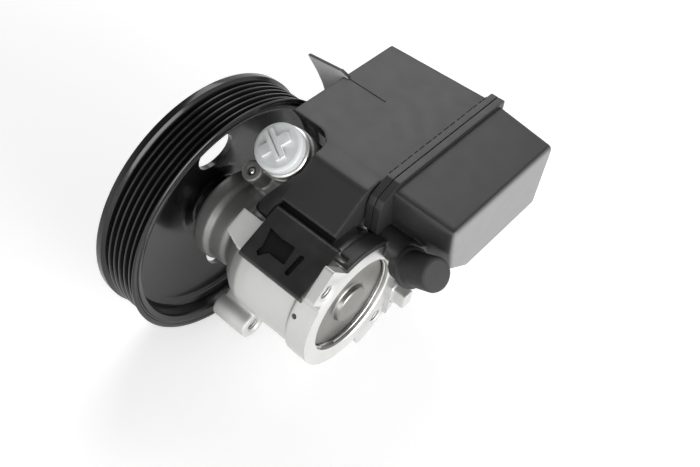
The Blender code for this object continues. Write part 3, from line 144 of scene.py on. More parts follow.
def lathe(name, profile, steps=128, matrix=AXIAL, angle=35):
    """Turns (radius, height) points about the frame's z axis. A point on the axis closes that end."""
    bm = bmesh.new()
    rings = []
    for r, h in profile:
        if r < 1e-6:
            rings.append([bm.verts.new((0, 0, h * MM))])
            continue
        turns = [2 * math.pi * k / steps for k in range(steps)]
        rings.append([bm.verts.new((r * MM * math.cos(t), r * MM * math.sin(t), h * MM)) for t in turns])
    loop = profile[0][0] > 1e-6 and profile[-1][0] > 1e-6
    for i in range(len(rings) - (0 if loop else 1)):
        a = rings[i]
        b = rings[(i + 1) % len(rings)]
        for k in range(steps):
            n = (k + 1) % steps
            if len(a) == 1 and len(b) == 1:
                continue
            if len(a) == 1:
                bm.faces.new((a[0], b[n], b[k]))
            elif len(b) == 1:
                bm.faces.new((a[k], a[n], b[0]))
            else:
                bm.faces.new((a[k], a[n], b[n], b[k]))
    return add(name, bm, matrix, angle)


def prism(name, outline, low, high, matrix=AXIAL, angle=35):
    bm = bmesh.new()
    bottom = [bm.verts.new((x * MM, y * MM, low * MM)) for x, y in outline]
    top = [bm.verts.new((x * MM, y * MM, high * MM)) for x, y in outline]
    bm.faces.new(bottom)
    bm.faces.new(top)
    for i in range(len(outline)):
        n = (i + 1) % len(outline)
        bm.faces.new((bottom[i], bottom[n], top[n], top[i]))
    return add(name, bm, matrix, angle)


def box(name, low, high, matrix=None):
    (x0, y0, z0), (x1, y1, z1) = low, high
    outline = [(x0, y0), (x1, y0), (x1, y1), (x0, y1)]
    return prism(name, outline, z0, z1, matrix or Matrix.Identity(4))


def cylinder(name, radius, low, high, matrix=AXIAL, steps=64, edge=0.0):
    profile = [(0, low), (radius, low), (radius, high), (0, high)]
    if edge:
        profile = soften(profile, edge, closed=False)
    return lathe(name, profile, steps, matrix)


def ball(name, radius, matrix, segments):
    bm = bmesh.new()
    bmesh.ops.create_uvsphere(bm, u_segments=segments, v_segments=segments // 2, radius=radius * MM)
    return add(name, bm, matrix)


def wire(name, points, radius):
    curve = bpy.data.curves.new(name, "CURVE")
    curve.dimensions = "3D"
    curve.bevel_depth = radius * MM
    curve.bevel_resolution = 4
    curve.use_fill_caps = True
    spline = curve.splines.new("POLY")
    spline.points.add(len(points) - 1)
    for point, position in zip(spline.points, points):
        point.co = (*(Vector(position) * MM), 1)
    obj = bpy.data.objects.new(name, curve)
    SCENE.collection.objects.link(obj)
    mesh = bpy.data.meshes.new_from_object(obj.evaluated_get(bpy.context.evaluated_depsgraph_get()))
    bpy.data.objects.remove(obj, do_unlink=True)
    mesh.shade_smooth()
    mesh.set_sharp_from_angle(angle=math.radians(50))
    obj = bpy.data.objects.new(name, mesh)
    SCENE.collection.objects.link(obj)
    return obj


def at(x, angle=0.0, radius=0.0):
    """An axial frame at a polar place round the shaft."""
    y, z = spot(radius * MM, angle)
    return Matrix.Translation((x * MM, y, z)) @ AXIAL


# Changes to a solid


def bake(obj, angle=35):
    mesh = bpy.data.meshes.new_from_object(obj.evaluated_get(bpy.context.evaluated_depsgraph_get()))
    obj.modifiers.clear()
    obj.data = mesh
    mesh.shade_smooth()
    mesh.set_sharp_from_angle(angle=math.radians(angle))
    return obj


def combine(obj, tools, operation, angle=35):
    for tool in tools:
        modifier = obj.modifiers.new("b", "BOOLEAN")
        modifier.operation = operation
        modifier.solver = "EXACT"
        modifier.object = tool
    bake(obj, angle)
    for tool in tools:
        bpy.data.objects.remove(tool, do_unlink=True)
    return obj


def skin(obj, voxel, smoothing):
    """Gives sharp joined blocks the soft, flowing corners of a moulding or a casting."""
    remesh = obj.modifiers.new("remesh", "REMESH")
    remesh.mode = "VOXEL"
    remesh.voxel_size = voxel * MM
    smooth = obj.modifiers.new("smooth", "SMOOTH")
    smooth.factor = 0.5
    smooth.iterations = smoothing
    return bake(obj, 60)


def bevel(obj, width, segments=2, angle=30):
    modifier = obj.modifiers.new("edge", "BEVEL")
    modifier.width = width * MM
    modifier.segments = segments
    modifier.limit_method = "ANGLE"
    modifier.angle_limit = math.radians(angle)
    modifier.use_clamp_overlap = True
    modifier.harden_normals = False
    return bake(obj, 35)


def even(obj):
    """Lets the large flat faces set the shading, so that thin bevels leave no streaks."""
    modifier = obj.modifiers.new("even", "WEIGHTED_NORMAL")
    modifier.keep_sharp = True
    mesh = bpy.data.meshes.new_from_object(obj.evaluated_get(bpy.context.evaluated_depsgraph_get()))
    obj.modifiers.clear()
    obj.data = mesh
    return obj


def taper(obj, split, rear_end, center, scale):
    """Scales the end of a shape on one side of an x place about a (y, z) centre."""
    for vertex in obj.data.vertices:
        if (vertex.co.x > split * MM) == rear_end:
            vertex.co.y = center[0] * MM + (vertex.co.y - center[0] * MM) * scale
            vertex.co.z = center[1] * MM + (vertex.co.z - center[1] * MM) * scale
    return obj


# Materials


def noise(tree, place, scale, detail):
    texture = tree.nodes.new("ShaderNodeTexNoise")
    texture.inputs["Scale"].default_value = scale
    texture.inputs["Detail"].default_value = detail
    tree.links.new(place, texture.inputs["Vector"])
    return texture.outputs["Fac"]


def bump(tree, height, distance):
    node = tree.nodes.new("ShaderNodeBump")
    node.inputs["Strength"].default_value = 1.0
    node.inputs["Distance"].default_value = distance * MM
    tree.links.new(height, node.inputs["Height"])
    return node


def surface(name, color, metallic=0.0, rough=0.5, grain=2500, depth=0.02, mottle=0.1, mottle_scale=60,
            rough_spread=0.08, coat=0.0, specular=0.5, translucent=0.0):
    """A shader with fine bump, slow colour change and uneven roughness, all in object space."""
    material = bpy.data.materials.new(name)
    material.use_nodes = True
    tree = material.node_tree
    shader = tree.nodes["Principled BSDF"]
    place = tree.nodes.new("ShaderNodeTexCoord").outputs["Object"]
    shader.inputs["Metallic"].default_value = metallic
    shader.inputs["Coat Weight"].default_value = coat
    shader.inputs["Coat Roughness"].default_value = 0.1
    shader.inputs["Specular IOR Level"].default_value = specular
    if translucent:
        shader.inputs["Subsurface Weight"].default_value = translucent
        shader.inputs["Subsurface Radius"].default_value = (0.004, 0.004, 0.004)

    ramp = tree.nodes.new("ShaderNodeValToRGB")
    dark, light = ramp.color_ramp.elements
    dark.position = 0.3
    light.position = 0.7
    dark.color = tuple(c * (1 - mottle) for c in color) + (1,)
    light.color = tuple(min(c * (1 + mottle), 1) for c in color) + (1,)
    tree.links.new(noise(tree, place, mottle_scale, 4), ramp.inputs["Fac"])
    tree.links.new(ramp.outputs["Color"], shader.inputs["Base Color"])

    spread = tree.nodes.new("ShaderNodeMapRange")
    spread.inputs["To Min"].default_value = max(rough - rough_spread, 0.02)
    spread.inputs["To Max"].default_value = min(rough + rough_spread, 1)
    tree.links.new(noise(tree, place, mottle_scale * 5, 3), spread.inputs["Value"])
    tree.links.new(spread.outputs["Result"], shader.inputs["Roughness"])

    relief = bump(tree, noise(tree, place, grain, 2), depth)
    tree.links.new(relief.outputs["Normal"], shader.inputs["Normal"])
    return material


def turned_finish(name, color, rough, pitch=0.25, depth=0.004):
    """Machined metal with fine rings about the shaft axis."""
    material = surface(name, color, 1.0, rough, grain=4000, depth=0.004, mottle=0.06, mottle_scale=40)
    tree = material.node_tree
    shader = tree.nodes["Principled BSDF"]
    grain = shader.inputs["Normal"].links[0].from_socket
    split = tree.nodes.new("ShaderNodeSeparateXYZ")
    flat = tree.nodes.new("ShaderNodeCombineXYZ")
    length = tree.nodes.new("ShaderNodeVectorMath")
    length.operation = "LENGTH"
    turns = tree.nodes.new("ShaderNodeMath")
    turns.operation = "MULTIPLY"
    turns.inputs[1].default_value = 2 * math.pi / (pitch * MM)
    wave = tree.nodes.new("ShaderNodeMath")
    wave.operation = "SINE"
    tree.links.new(tree.nodes.new("ShaderNodeTexCoord").outputs["Object"], split.inputs[0])
    tree.links.new(split.outputs["Y"], flat.inputs["Y"])
    tree.links.new(split.outputs["Z"], flat.inputs["Z"])
    tree.links.new(flat.outputs[0], length.inputs[0])
    tree.links.new(length.outputs["Value"], turns.inputs[0])
    tree.links.new(turns.outputs[0], wave.inputs[0])
    rings = bump(tree, wave.outputs[0], depth)
    tree.links.new(grain, rings.inputs["Normal"])
    tree.links.new(rings.outputs["Normal"], shader.inputs["Normal"])
    return material


def turn_along_x(material, start, end, color):
    """Lets a material's colour go over to another one between two places on the x axis."""
    tree = material.node_tree
    split = tree.nodes.new("ShaderNodeSeparateXYZ")
    share = tree.nodes.new("ShaderNodeMapRange")
    share.inputs["From Min"].default_value = start * MM
    share.inputs["From Max"].default_value = end * MM
    mix = tree.nodes.new("ShaderNodeMix")
    mix.data_type = "RGBA"
    mix.inputs[7].default_value = (*color, 1)
    shader = tree.nodes["Principled BSDF"]
    first = shader.inputs["Base Color"].links[0].from_socket
    tree.links.new(tree.nodes.new("ShaderNodeTexCoord").outputs["Object"], split.inputs[0])
    tree.links.new(split.outputs["X"], share.inputs["Value"])
    tree.links.new(share.outputs["Result"], mix.inputs[0])
    tree.links.new(first, mix.inputs[6])
    tree.links.new(mix.outputs[2], shader.inputs["Base Color"])
    return material


def black_plastic(name):
    return surface(name, (0.024, 0.024, 0.025), 0.0, 0.46, grain=1800, depth=0.02, mottle=0.12,
                   mottle_scale=25, rough_spread=0.06)


def cast(name, color, metallic, rough, depth):
    return surface(name, color, metallic, rough, grain=1300, depth=depth, mottle=0.05, mottle_scale=90)


PLASTIC = black_plastic("black_plastic")
# Painted sheen: the black plastic turns grey from x 131.2 to 132.8 mm, so the tank's rear end face looks lit.
REAR_SHEEN_PLASTIC = turn_along_x(black_plastic("black_plastic_painted_rear_sheen"), 131.2, 132.8, (0.20, 0.20, 0.20))
# Painted shade: a near-black plastic for the plates under the clips and the dashes at the flange's top edge,
# standing in for shade there.
PAINTED_SHADE = surface("painted_shade_plastic", (0.006, 0.006, 0.006), 0.0, 0.6, grain=1800, depth=0.02, specular=0.2)
# Painted sheen: a pale grey for the fin's face towards -Y, standing in for the light it catches.
FIN_PAINTED_SHEEN = surface("fin_painted_sheen", (0.58, 0.58, 0.58), 0.0, 0.5, grain=1800, depth=0.02, mottle=0.08)
# Painted shade: the cast aluminium is dark at the nose and turns to the body's colour between x 42 and 58 mm.
BODY_COLOR = (0.60, 0.60, 0.585)
CAST = turn_along_x(cast("aluminium_painted_nose_shade", (0.26, 0.26, 0.255), 0.75, 0.50, 0.045), 42, 58, BODY_COLOR)
# Painted light: a pale, mostly matt aluminium for the pad, standing in for the bright reflection on the pad.
PAD_PAINTED_LIGHT = cast("pad_aluminium_painted_light", (0.86, 0.86, 0.84), 0.35, 0.55, 0.03)
MILLED = turned_finish("milled_aluminium", (0.75, 0.75, 0.735), 0.36)
COVER = turned_finish("pressed_steel", (0.27, 0.265, 0.25), 0.36, 0.4, 0.002)
GLOSS_BLACK = surface("gloss_black_paint", (0.006, 0.006, 0.0065), 0.0, 0.24, grain=700, depth=0.006,
                      mottle=0.15, mottle_scale=30, rough_spread=0.05, coat=0.3, specular=0.3)
CLIP = surface("phosphated_steel", (0.034, 0.033, 0.034), 0.35, 0.44, grain=1500, depth=0.012, mottle=0.22,
               mottle_scale=120, rough_spread=0.1)
RUBBER = surface("black_rubber", (0.027, 0.026, 0.027), 0.0, 0.62, grain=2200, depth=0.02, mottle=0.15,
                 mottle_scale=80, specular=0.35)
ZINC = surface("zinc_plate", (0.72, 0.72, 0.70), 0.9, 0.32, grain=1800, depth=0.008, mottle=0.06,
               mottle_scale=100)
WHITE = surface("white_plastic", (0.68, 0.70, 0.70), 0.0, 0.42, grain=1200, depth=0.01, mottle=0.04,
                mottle_scale=150, translucent=0.35)
STEEL = surface("ground_steel", (0.46, 0.46, 0.47), 1.0, 0.30, grain=3000, depth=0.004, mottle=0.08,
                mottle_scale=150)
DARK_STEEL = surface("oiled_steel", (0.20, 0.20, 0.21), 1.0, 0.36, grain=2000, depth=0.008, mottle=0.15,
                     mottle_scale=120)
WIRE = surface("bright_wire", (0.66, 0.65, 0.63), 1.0, 0.26, grain=2500, depth=0.004, mottle=0.08,
               mottle_scale=200)
BRONZE = surface("bearing_bronze", (0.50, 0.36, 0.19), 1.0, 0.40, grain=2500, depth=0.01, mottle=0.15,
                 mottle_scale=200)


def dress(obj, *materials):
    obj.data.materials.clear()
    for material in materials:
        obj.data.materials.append(material)
    return obj


def paint_faces(obj, index, test):
    """Gives every face that passes the test another of the object's materials."""
    for face in obj.data.polygons:
        if test(face.center / MM, face.normal):
            face.material_index = index


def place(obj, body, slot, *nodes):
    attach(obj, body)
    if nodes:
        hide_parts(*nodes)
    return obj


# Camera

CAMERA_PLACE = (0.2342, -0.2042, 0.3292)
CAMERA_FORWARD = (-0.368, 0.544, -0.754)
CAMERA_UP = (-0.548, 0.528, 0.649)

camera = bpy.data.objects.new("camera", bpy.data.cameras.new("camera"))
SCENE.collection.objects.link(camera)
SCENE.camera = camera
forward = Vector(CAMERA_FORWARD).normalized()
right = forward.cross(Vector(CAMERA_UP)).normalized()
up = right.cross(forward)
camera.matrix_world = Matrix.Translation(CAMERA_PLACE) @ Matrix((right, up, -forward)).transposed().to_4x4()
camera.data.sensor_width = 36
camera.data.lens = 43.66
camera.data.clip_start = 0.01
camera.data.clip_end = 20

# Pulley

GROOVE_COUNT = 6
GROOVE_PITCH = 3.56
FIRST_GROOVE = 6.5
WEB_HOLE_RADIUS = 10.9
WEB_HOLE_CIRCLE = 36.8


def groove(middle):
    front = [(67.6, middle - 1.55), (67.35, middle - 1.30), (64.9, middle - 0.42), (64.7, middle - 0.2)]
    rear = [(64.7, middle + 0.2), (64.9, middle + 0.42), (67.35, middle + 1.30), (67.6, middle + 1.55)]
    return front + rear


def pulley_profile():
    rim = [(67.8, 0), (69, 0.8), (69, 4.1)]
    for i in range(GROOVE_COUNT):
        rim += groove(FIRST_GROOVE + GROOVE_PITCH * i)
    rim += [(69, 26.2), (69, 26.7), (68.4, 27.1), (67.1, 27.1), (66.4, 26.2), (65.6, 26.2), (65.2, 26.9)]
    dish = [(62.7, 25.9), (62.1, 24.4), (62.1, 18.2), (60.9, 16.0), (58.1, 15.0), (22.4, 8.8), (20.4, 8.2)]
    hub = [(15.2, 8.2), (14, 9.4), (14, 15.3), (13.2, 16.1), (8.8, 16.1), (8.8, 0), (13.4, 0), (14, 0.6)]
    hub += [(14, 2.0), (12.6, 2.0), (12.6, 4.5), (14, 4.5)]
    front = [(14, 5.4), (20.4, 5.4), (58.1, 12.2), (62.1, 9.2), (62.1, 1.0), (63.1, 0)]
    return rim + dish + hub + front


def make_pulley():
    profile = pulley_profile()
    radii = [1.6 if 8 < h < 19 and 14 < r < 63 else 0.2 for r, h in profile]
    pulley = lathe("pulley_finished", soften(profile, radii), 192, angle=50)
    holes = []
    for degrees in (92, 272):
        center = at(0, math.radians(degrees), WEB_HOLE_CIRCLE)
        holes.append(cylinder("hole", WEB_HOLE_RADIUS, 2, 21, center, 96))
    combine(pulley, holes, "DIFFERENCE", 50)
    place(dress(pulley, GLOSS_BLACK), "rotating_group", "pulley_paint", "pulley")


make_pulley()

# Housing

NOSE = [(0, 17.2), (18.8, 17.2), (22.8, 17.9), (24.7, 19.4), (25.2, 21.0), (25.2, 26.6), (23.4, 29.2)]
NOSE += [(23.2, 36.6)]
NECK = [(22.4, 39.2), (22.4, 40.6), (24.0, 43.2), (28.1, 46.8), (31.3, 51.4), (32.8, 56.8)]
BODY = [(33.1, 63.1), (33.1, 91.4), (34.9, 92.4), (34.9, 107), (0, 107)]
SHAFT_BORE = [(0, 15), (14, 15), (14, 24.2), (11.2, 24.2), (11.2, 50.2), (9.6, 50.2), (9.6, 58)]
CAVITY = [(26.5, 58), (26.5, 100.15), (27.35, 100.3), (27.35, 102.6), (26.5, 102.8), (26.5, 104.1)]
CAVITY += [(27.6, 105.2), (27.6, 108), (0, 108)]
VALVE_BORE = [(0, -33), (8.3, -30), (8.3, 15.5), (9.3, 15.5), (9.3, 29.2), (10.2, 30.2), (10.2, 34), (0, 34)]
INLET_BORE = [(0, 22), (8.3, 22), (8.3, 36), (10.5, 36), (10.5, 40), (0, 40)]
BOLT_THREAD_RADIUS = 3.4


def lower_rear_lug():
    """The lug as a sector of a disc about the shaft, between its two flanks."""
    middle = REAR_LUG_ANGLES[1]
    spread = math.radians(28)
    rounding = 0.08
    outline = [spot(12, middle - spread)]
    outline += arc(44.6, middle - spread + rounding, middle + spread - rounding, 17)
    outline.append(spot(12, middle + spread))
    return prism("lug", outline, 96.5, 107)


def upper_rail():
    outline = [(-33.5, -10.8), (-22.6, -14.5), (30.3, -14.5), (30.3, 7), (-18.5, 7), (-21, 2.6), (-33.5, 2.6)]
    return prism("rail", outline, 21, 34, UPPER)


def lower_rail():
    return prism("rail", [(-17, -14.5), (17, -14.5), (17, 7), (-17, 7)], 21, 34, LOWER)


def thread_profile(radius, mouth, depth, pitch=1.25):
    """A blind threaded hole: rings of 60 degree grooves below a countersunk mouth."""
    points = [(0, mouth + 1), (radius + 1.4, mouth + 1), (radius + 1.4, mouth)]
    height = mouth - 0.9
    while height > mouth - depth + pitch:
        points += [(radius + 0.05, height), (radius + 0.62, height - pitch / 2)]
        height -= pitch
    return points + [(radius, height), (radius, mouth - depth), (0, mouth - depth - 1.8)]


def casting_blocks():
    """What is joined to the turned body before the casting's corners are softened."""
    foot_turn = Matrix.Rotation(FOOT_LUG_ANGLE, 4, "X")
    return [
        box("lug", (99.3, -0.6, 15), (107, 17.2, 45.2), Matrix.Rotation(math.pi / 4, 4, "X")),
        lower_rear_lug(),
        cylinder("lug", 8, 44, 66, at(0, FOOT_LUG_ANGLE, BOLT_RADIUS), 48, 0.8),
        box("web", (46.5, 18, -6.5), (64.8, 37.1, 6.5), foot_turn),
        upper_rail(),
        lower_rail(),
        cylinder("boss", 13.8, -34, 30, VALVE, 64, 0.6),
        box("web", (-11.8, -21.5, -28), (11.8, 0, 19.5), VALVE),
        cylinder("lug", 5.4, 8, 31.8, SMALL_LUG, 48, 0.6),
        cylinder("inlet", 11.5, 24, 39, INLET, 48),
        box("stub", (97, 29.7, -22), (115.3, 36.8, -12.5)),
    ]


def facing_cuts():
    """The rear face's milling, which passes beside the stub."""
    return [
        box("face", (REAR_FACE, -80, -80), (109, 29.0, 80)),
        box("face", (REAR_FACE, 28.9, -11.5), (109, 80, 80)),
    ]


def machining_cuts():
    cuts = [lathe("bore", SHAFT_BORE + CAVITY, 160)]
    for angle in REAR_LUG_ANGLES:
        hole = thread_profile(BOLT_THREAD_RADIUS, REAR_FACE, 11)
        cuts.append(lathe("thread", hole, 48, at(0, angle, BOLT_RADIUS)))
    hole = thread_profile(BOLT_THREAD_RADIUS, 66, 16)
    cuts.append(lathe("thread", hole, 48, at(0, FOOT_LUG_ANGLE, BOLT_RADIUS)))
    cuts.append(cylinder("pin", 1.3, 99.8, 108, at(0, math.radians(-36.8), BOLT_RADIUS), 24))
    cuts.append(lathe("valve", VALVE_BORE, 64, VALVE))
    cuts.append(cylinder("passage", 2.2, 19.8, 40, SMALL_LUG, 32))
    cuts.append(cylinder("sink", 2.7, 31.2, 40, SMALL_LUG, 32))
    cuts.append(lathe("inlet", INLET_BORE, 48, INLET))
    punch_hole = Matrix.Rotation(math.radians(67), 4, "X") @ shift(94.8)
    cuts.append(cylinder("punch", 1.4, 30, 40, punch_hole, 24))
    return cuts


def on_machined_face(p, n):
    """True on the rear face and on the walls of the bores about the shaft."""
    if n.x > 0.97 and abs(p.x - REAR_FACE) < 0.05:
        return True
    radius = math.hypot(p.y, p.z)
    return radius < 27.9 and n.dot(Vector((0, p.y, p.z))) < 0


TO_PAD = UPPER.inverted()
PAD_UP = UPPER.to_3x3() @ Vector((0, 0, 1))


def on_pad(p, n):
    """True on the flat pad at the front of the upper rail."""
    q = TO_PAD @ (p * MM) / MM
    return -34.5 < q.x < -14 and -16 < q.y < 8 and q.z > 32.5 and n.dot(PAD_UP) > 0.8


def make_housing():
    housing = lathe("housing_casting", NOSE + NECK + BODY, 96)
    combine(housing, casting_blocks(), "UNION", 60)
    skin(housing, voxel=0.65, smoothing=5)
    combine(housing, facing_cuts(), "DIFFERENCE")
    combine(housing, machining_cuts(), "DIFFERENCE", 40)
    # The casting's first material darkens the nose as painted shade.
    dress(housing, CAST, MILLED, PAD_PAINTED_LIGHT)
    paint_faces(housing, 1, on_machined_face)
    # The pad gets the pale colour of painted light.
    paint_faces(housing, 2, on_pad)
    place(housing, "pump", "cast_aluminium", "housing")


make_housing()

# End cover and its ring

RING_MIDDLE = 101.75
RING_RADIUS = 26.4
RING_WIRE_RADIUS = 0.75


def make_end_cover():
    boss = [(0, 103.9), (9.2, 103.9), (10.0, 103.3), (10.6, 101.3), (11.4, 100.7)]
    rim = [(25.2, 100.7), (26.1, 99.9), (26.1, 99.8)]
    seal_groove = [(24.3, 99.8), (24.3, 97.6), (26.1, 97.6), (26.1, 96.6), (0, 96.6)]
    cover = lathe("end_cover_pressing", soften(boss + rim + seal_groove, 0.5, closed=False), 160)
    place(dress(cover, COVER), "pump", "cover_steel", "end_cover")


def make_retaining_ring():
    start = math.radians(-109)
    turns = arc(RING_RADIUS, start, start + math.radians(334), 120)
    ring = wire("end_cover_ring_wire", [(RING_MIDDLE, y, z) for y, z in turns], RING_WIRE_RADIUS)
    place(dress(ring, WIRE), "pump", "ring_wire", "end_cover_retaining_ring")


make_end_cover()
make_retaining_ring()

# Outlet

CROSS_OFFSET = -1.2
CROSS_DEGREES = 62
ARM_HALF_WIDTH = 2.5
ARM_HALF_LENGTH = 7.9


def make_union():
    outer = [(4.5, 16.3), (8.4, 16.3), (9, 16.9), (9, 27.3), (7.5, 27.3), (7.5, 29.5), (9, 29.5), (9, 30.3)]
    collar = [(12.7, 30.3), (13, 30.6), (13, 34.5), (12.2, 35.3), (6.8, 35.3)]
    bore = [(6.2, 34.7), (6.2, 26.1), (4.5, 24.4)]
    union = lathe("outlet_union_turned", soften(outer + collar + bore, 0.25), 96, VALVE)
    place(dress(union, ZINC), "pump", "union_steel", "outlet_union")


def cross_frame(degrees):
    return VALVE @ shift(CROSS_OFFSET) @ Matrix.Rotation(math.radians(degrees), 4, "Z")


def make_plug():
    stem = [(0, 27.1), (4.9, 27.1), (5.9, 28.1), (5.9, 35.6)]
    head = [(11.3, 35.6), (12.1, 36.4), (12.1, 40.2), (11.6, 41.3), (10.5, 41.8), (0, 41.8)]
    plug = lathe("outlet_plug_moulded", soften(stem + head, 0.6, closed=False), 96, VALVE)
    w = ARM_HALF_WIDTH
    h = ARM_HALF_LENGTH
    outline = soften([(-w, -h), (w, -h), (w, h), (-w, h)], 0.6)
    arms = [prism("arm", outline, 40.8, 43.6, cross_frame(CROSS_DEGREES + 90 * i)) for i in range(2)]
    combine(plug, arms, "UNION")
    slit = box("slit", (-0.45, -12, 42.5), (0.45, 12, 44.5), cross_frame(CROSS_DEGREES))
    combine(plug, [slit], "DIFFERENCE")
    bevel(plug, 0.25, 2, 40)
    place(dress(plug, WHITE), "plug", "plug_plastic", "outlet_plug")


make_union()
make_plug()

# Reservoir, with its outlines as (y, z) points and its front and rear ends as x places

TANK = [(24.5, 57), (27.5, 39), (32, 24), (49, 12), (114.8, 12), (112.3, 57)]
TANK_ROUNDING = 3.2
FLANGE = [(29, 59.2), (18.5, 54.4), (16.9, 50), (16.9, 33.8), (30, 23), (47.5, 9.8), (117, 9.8)]
FLANGE += [(114.5, 59.2)]
SHOULDER = [(36, 56.9), (16.5, 56.9), (-3.5, 41.2), (-0.7, 37.1), (12, 37.2), (36, 36.2)]
SHOULDER_ROUNDING = [0, 6, 0.8, 0.5, 1, 0]
TONGUE_SIDE = 14.5
FIN = [(5.7, 56.2), (12.5, 50.2), (16.5, 45.5), (19.8, 40.2), (24.2, 30.5), (33.5, 18), (33.5, 57.8)]
FIN += [(28, 59.2), (27, 58.8)]
DASH_COUNT = 17
FRONT_TANK = (30.3, 93.9)
REAR_TANK = (96.25, 133)
FRONT_FLANGE = (91.15, 94.95)
REAR_FLANGE = (95.25, 99.05)


def tank_block(name, span, rear_end, center, scale):
    """One half of the tank, which narrows a little towards its end for the mould's sake."""
    block = prism(name, soften(TANK, TANK_ROUNDING), *span)
    return taper(block, sum(span) / 2, rear_end, center, scale)


def notch():
    """The clearance round the outlet boss, open towards the pulley."""
    side = 14.3
    back = 19.2
    corner = 11
    outline = [(-50, back)] + arc(corner, math.pi / 2, 0, 12, (side - corner, back - corner))
    outline += arc(side, 0, -math.radians(145), 24)
    outline.append((-50, outline[-1][1]))
    return prism("notch", outline[::-1], -90, 60, VALVE)


def make_front_tank():
    tank = tank_block("reservoir_front_moulded", FRONT_TANK, False, (24.5, 57), 0.965)
    outline = soften(SHOULDER, SHOULDER_ROUNDING)
    parts = [prism("shoulder", outline, 56.5, 90.6)]
    parts.append(prism("leg", outline, 61.5, 86.5, HALF_TURN @ AXIAL))
    parts.append(cylinder("boss", 11, 39.4, 50, INLET, 48))
    combine(tank, parts, "UNION", 60)
    combine(tank, [notch()], "DIFFERENCE", 60)
    skin(tank, voxel=0.7, smoothing=3)
    neck = cylinder("neck", 10.8, 104, 118.8, FILLER, 96, 0.5)
    spigot = cylinder("spigot", 7.5, 30, 45, INLET, 64, 0.5)
    line = box("line", (31, 69.6, 55.5), (57.3, 70.4, 57.35))
    combine(tank, [neck, spigot, line], "UNION")
    neck_bore = cylinder("bore", 8.6, 98, 122, FILLER, 96)
    spigot_bore = cylinder("bore", 5.5, 29, 48, INLET, 48)
    combine(tank, [neck_bore, spigot_bore], "DIFFERENCE")
    place(dress(tank, PLASTIC), "pump", "reservoir_plastic", "reservoir_front")


def make_flange_half(name, span):
    piece = even(bevel(prism(name, soften(FLANGE, 2.5, count=5), *span), 0.35))
    place(dress(piece, PLASTIC), "pump", "reservoir_plastic")


def make_shadow_dashes():
    """Painted shadow: uneven near-black dashes along the flange's front top edge, standing in for the shadow
    line there.
    """
    dashes = []
    reach = 31.0
    for i in range(DASH_COUNT):
        length = 2.2 + 1.9 * math.sin(i * 2.3) ** 2
        dashes.append(box("shadow_dash", (91.0, reach, 58.6), (91.5, reach + length, 59.3)))
        reach += length + 1.0 + 1.2 * math.sin(i * 1.7) ** 2
    shadow_line = combine(dashes[0], dashes[1:], "UNION")
    shadow_line.name = "seam_shadow_dashes"
    place(dress(shadow_line, PAINTED_SHADE), "pump", "reservoir_plastic")


def make_fin():
    fin = bevel(prism("reservoir_fin", FIN, -1.1, 1.1, FIN_FRAME), 0.3)
    dress(fin, PLASTIC, FIN_PAINTED_SHEEN)
    # The fin's face towards -Y gets the painted sheen.
    paint_faces(fin, 1, lambda p, n: n.y < -0.9)
    place(fin, "pump", "reservoir_plastic")


def make_foot():
    """The slope's flare towards the pad. A station in the clip's frame is across, height, left, right."""
    stations = [(30, 41.1, -19.2, -18), (25.5, 40.15, -21.7, -18), (21.5, 39.3, -23.4, -18)]
    stations += [(16.1, 38.0, -25.7, -18), (12.7, 36.9, -27.3, -19.6), (9.5, 36.1, -28.0, -20.2)]
    stations += [(7.2, 35.75, -27.3, -20.3), (5.6, 35.5, -25.6, -20.4)]
    bm = bmesh.new()
    rows = []
    for across, height, left, right in stations:
        low = max(height - 1.6, 34.4)
        corners = [(left, across, height - 0.5), (left + 0.5, across, height), (right, across, height)]
        corners += [(right, across, low), (left, across, low)]
        rows.append([bm.verts.new(Vector(corner) * MM) for corner in corners])
    for a, b in zip(rows, rows[1:]):
        for k in range(5):
            n = (k + 1) % 5
            bm.faces.new((a[k], a[n], b[n], b[k]))
    bm.faces.new(rows[0])
    bm.faces.new(rows[-1])
    foot = add("reservoir_foot", bm, UPPER, 50)
    place(dress(foot, PLASTIC), "pump", "reservoir_plastic")


def make_tongue(name, matrix, outline, rounding, left):
    """The plate under a clip, with the rib and the floor behind it, which start at the left place. It is
    near-black as painted shade, so the clip's windows look dark.
    """
    plate = prism(name, soften(outline, rounding), 34.3, 35.5, matrix)
    rib = box("rib", (left + 0.8, 7.3, 32.9), (TONGUE_SIDE - 0.8, 10.7, 35.2), matrix)
    floor = box("floor", (left + 1.6, 7.9, 33.1), (TONGUE_SIDE - 1.6, 18, 34.0), matrix)
    combine(plate, [rib, floor], "UNION")
    even(bevel(plate, 0.2, 2, 50))
    place(dress(plate, PAINTED_SHADE), "pump", "reservoir_plastic")


def make_tongues():
    side = TONGUE_SIDE
    foot = -28.2
    upper = [(-side, -10.7), (side, -10.7), (side, 11), (foot, 11), (foot, 5.2), (-side, 3.4)]
    make_tongue("upper_tongue", UPPER, upper, [0.8, 0.8, 0.8, 2.5, 3, 0.8], foot)
    lower = [(-side, -10.7), (side, -10.7), (side, 11), (-side, 11)]
    make_tongue("lower_tongue", LOWER, lower, 0.8, -side)


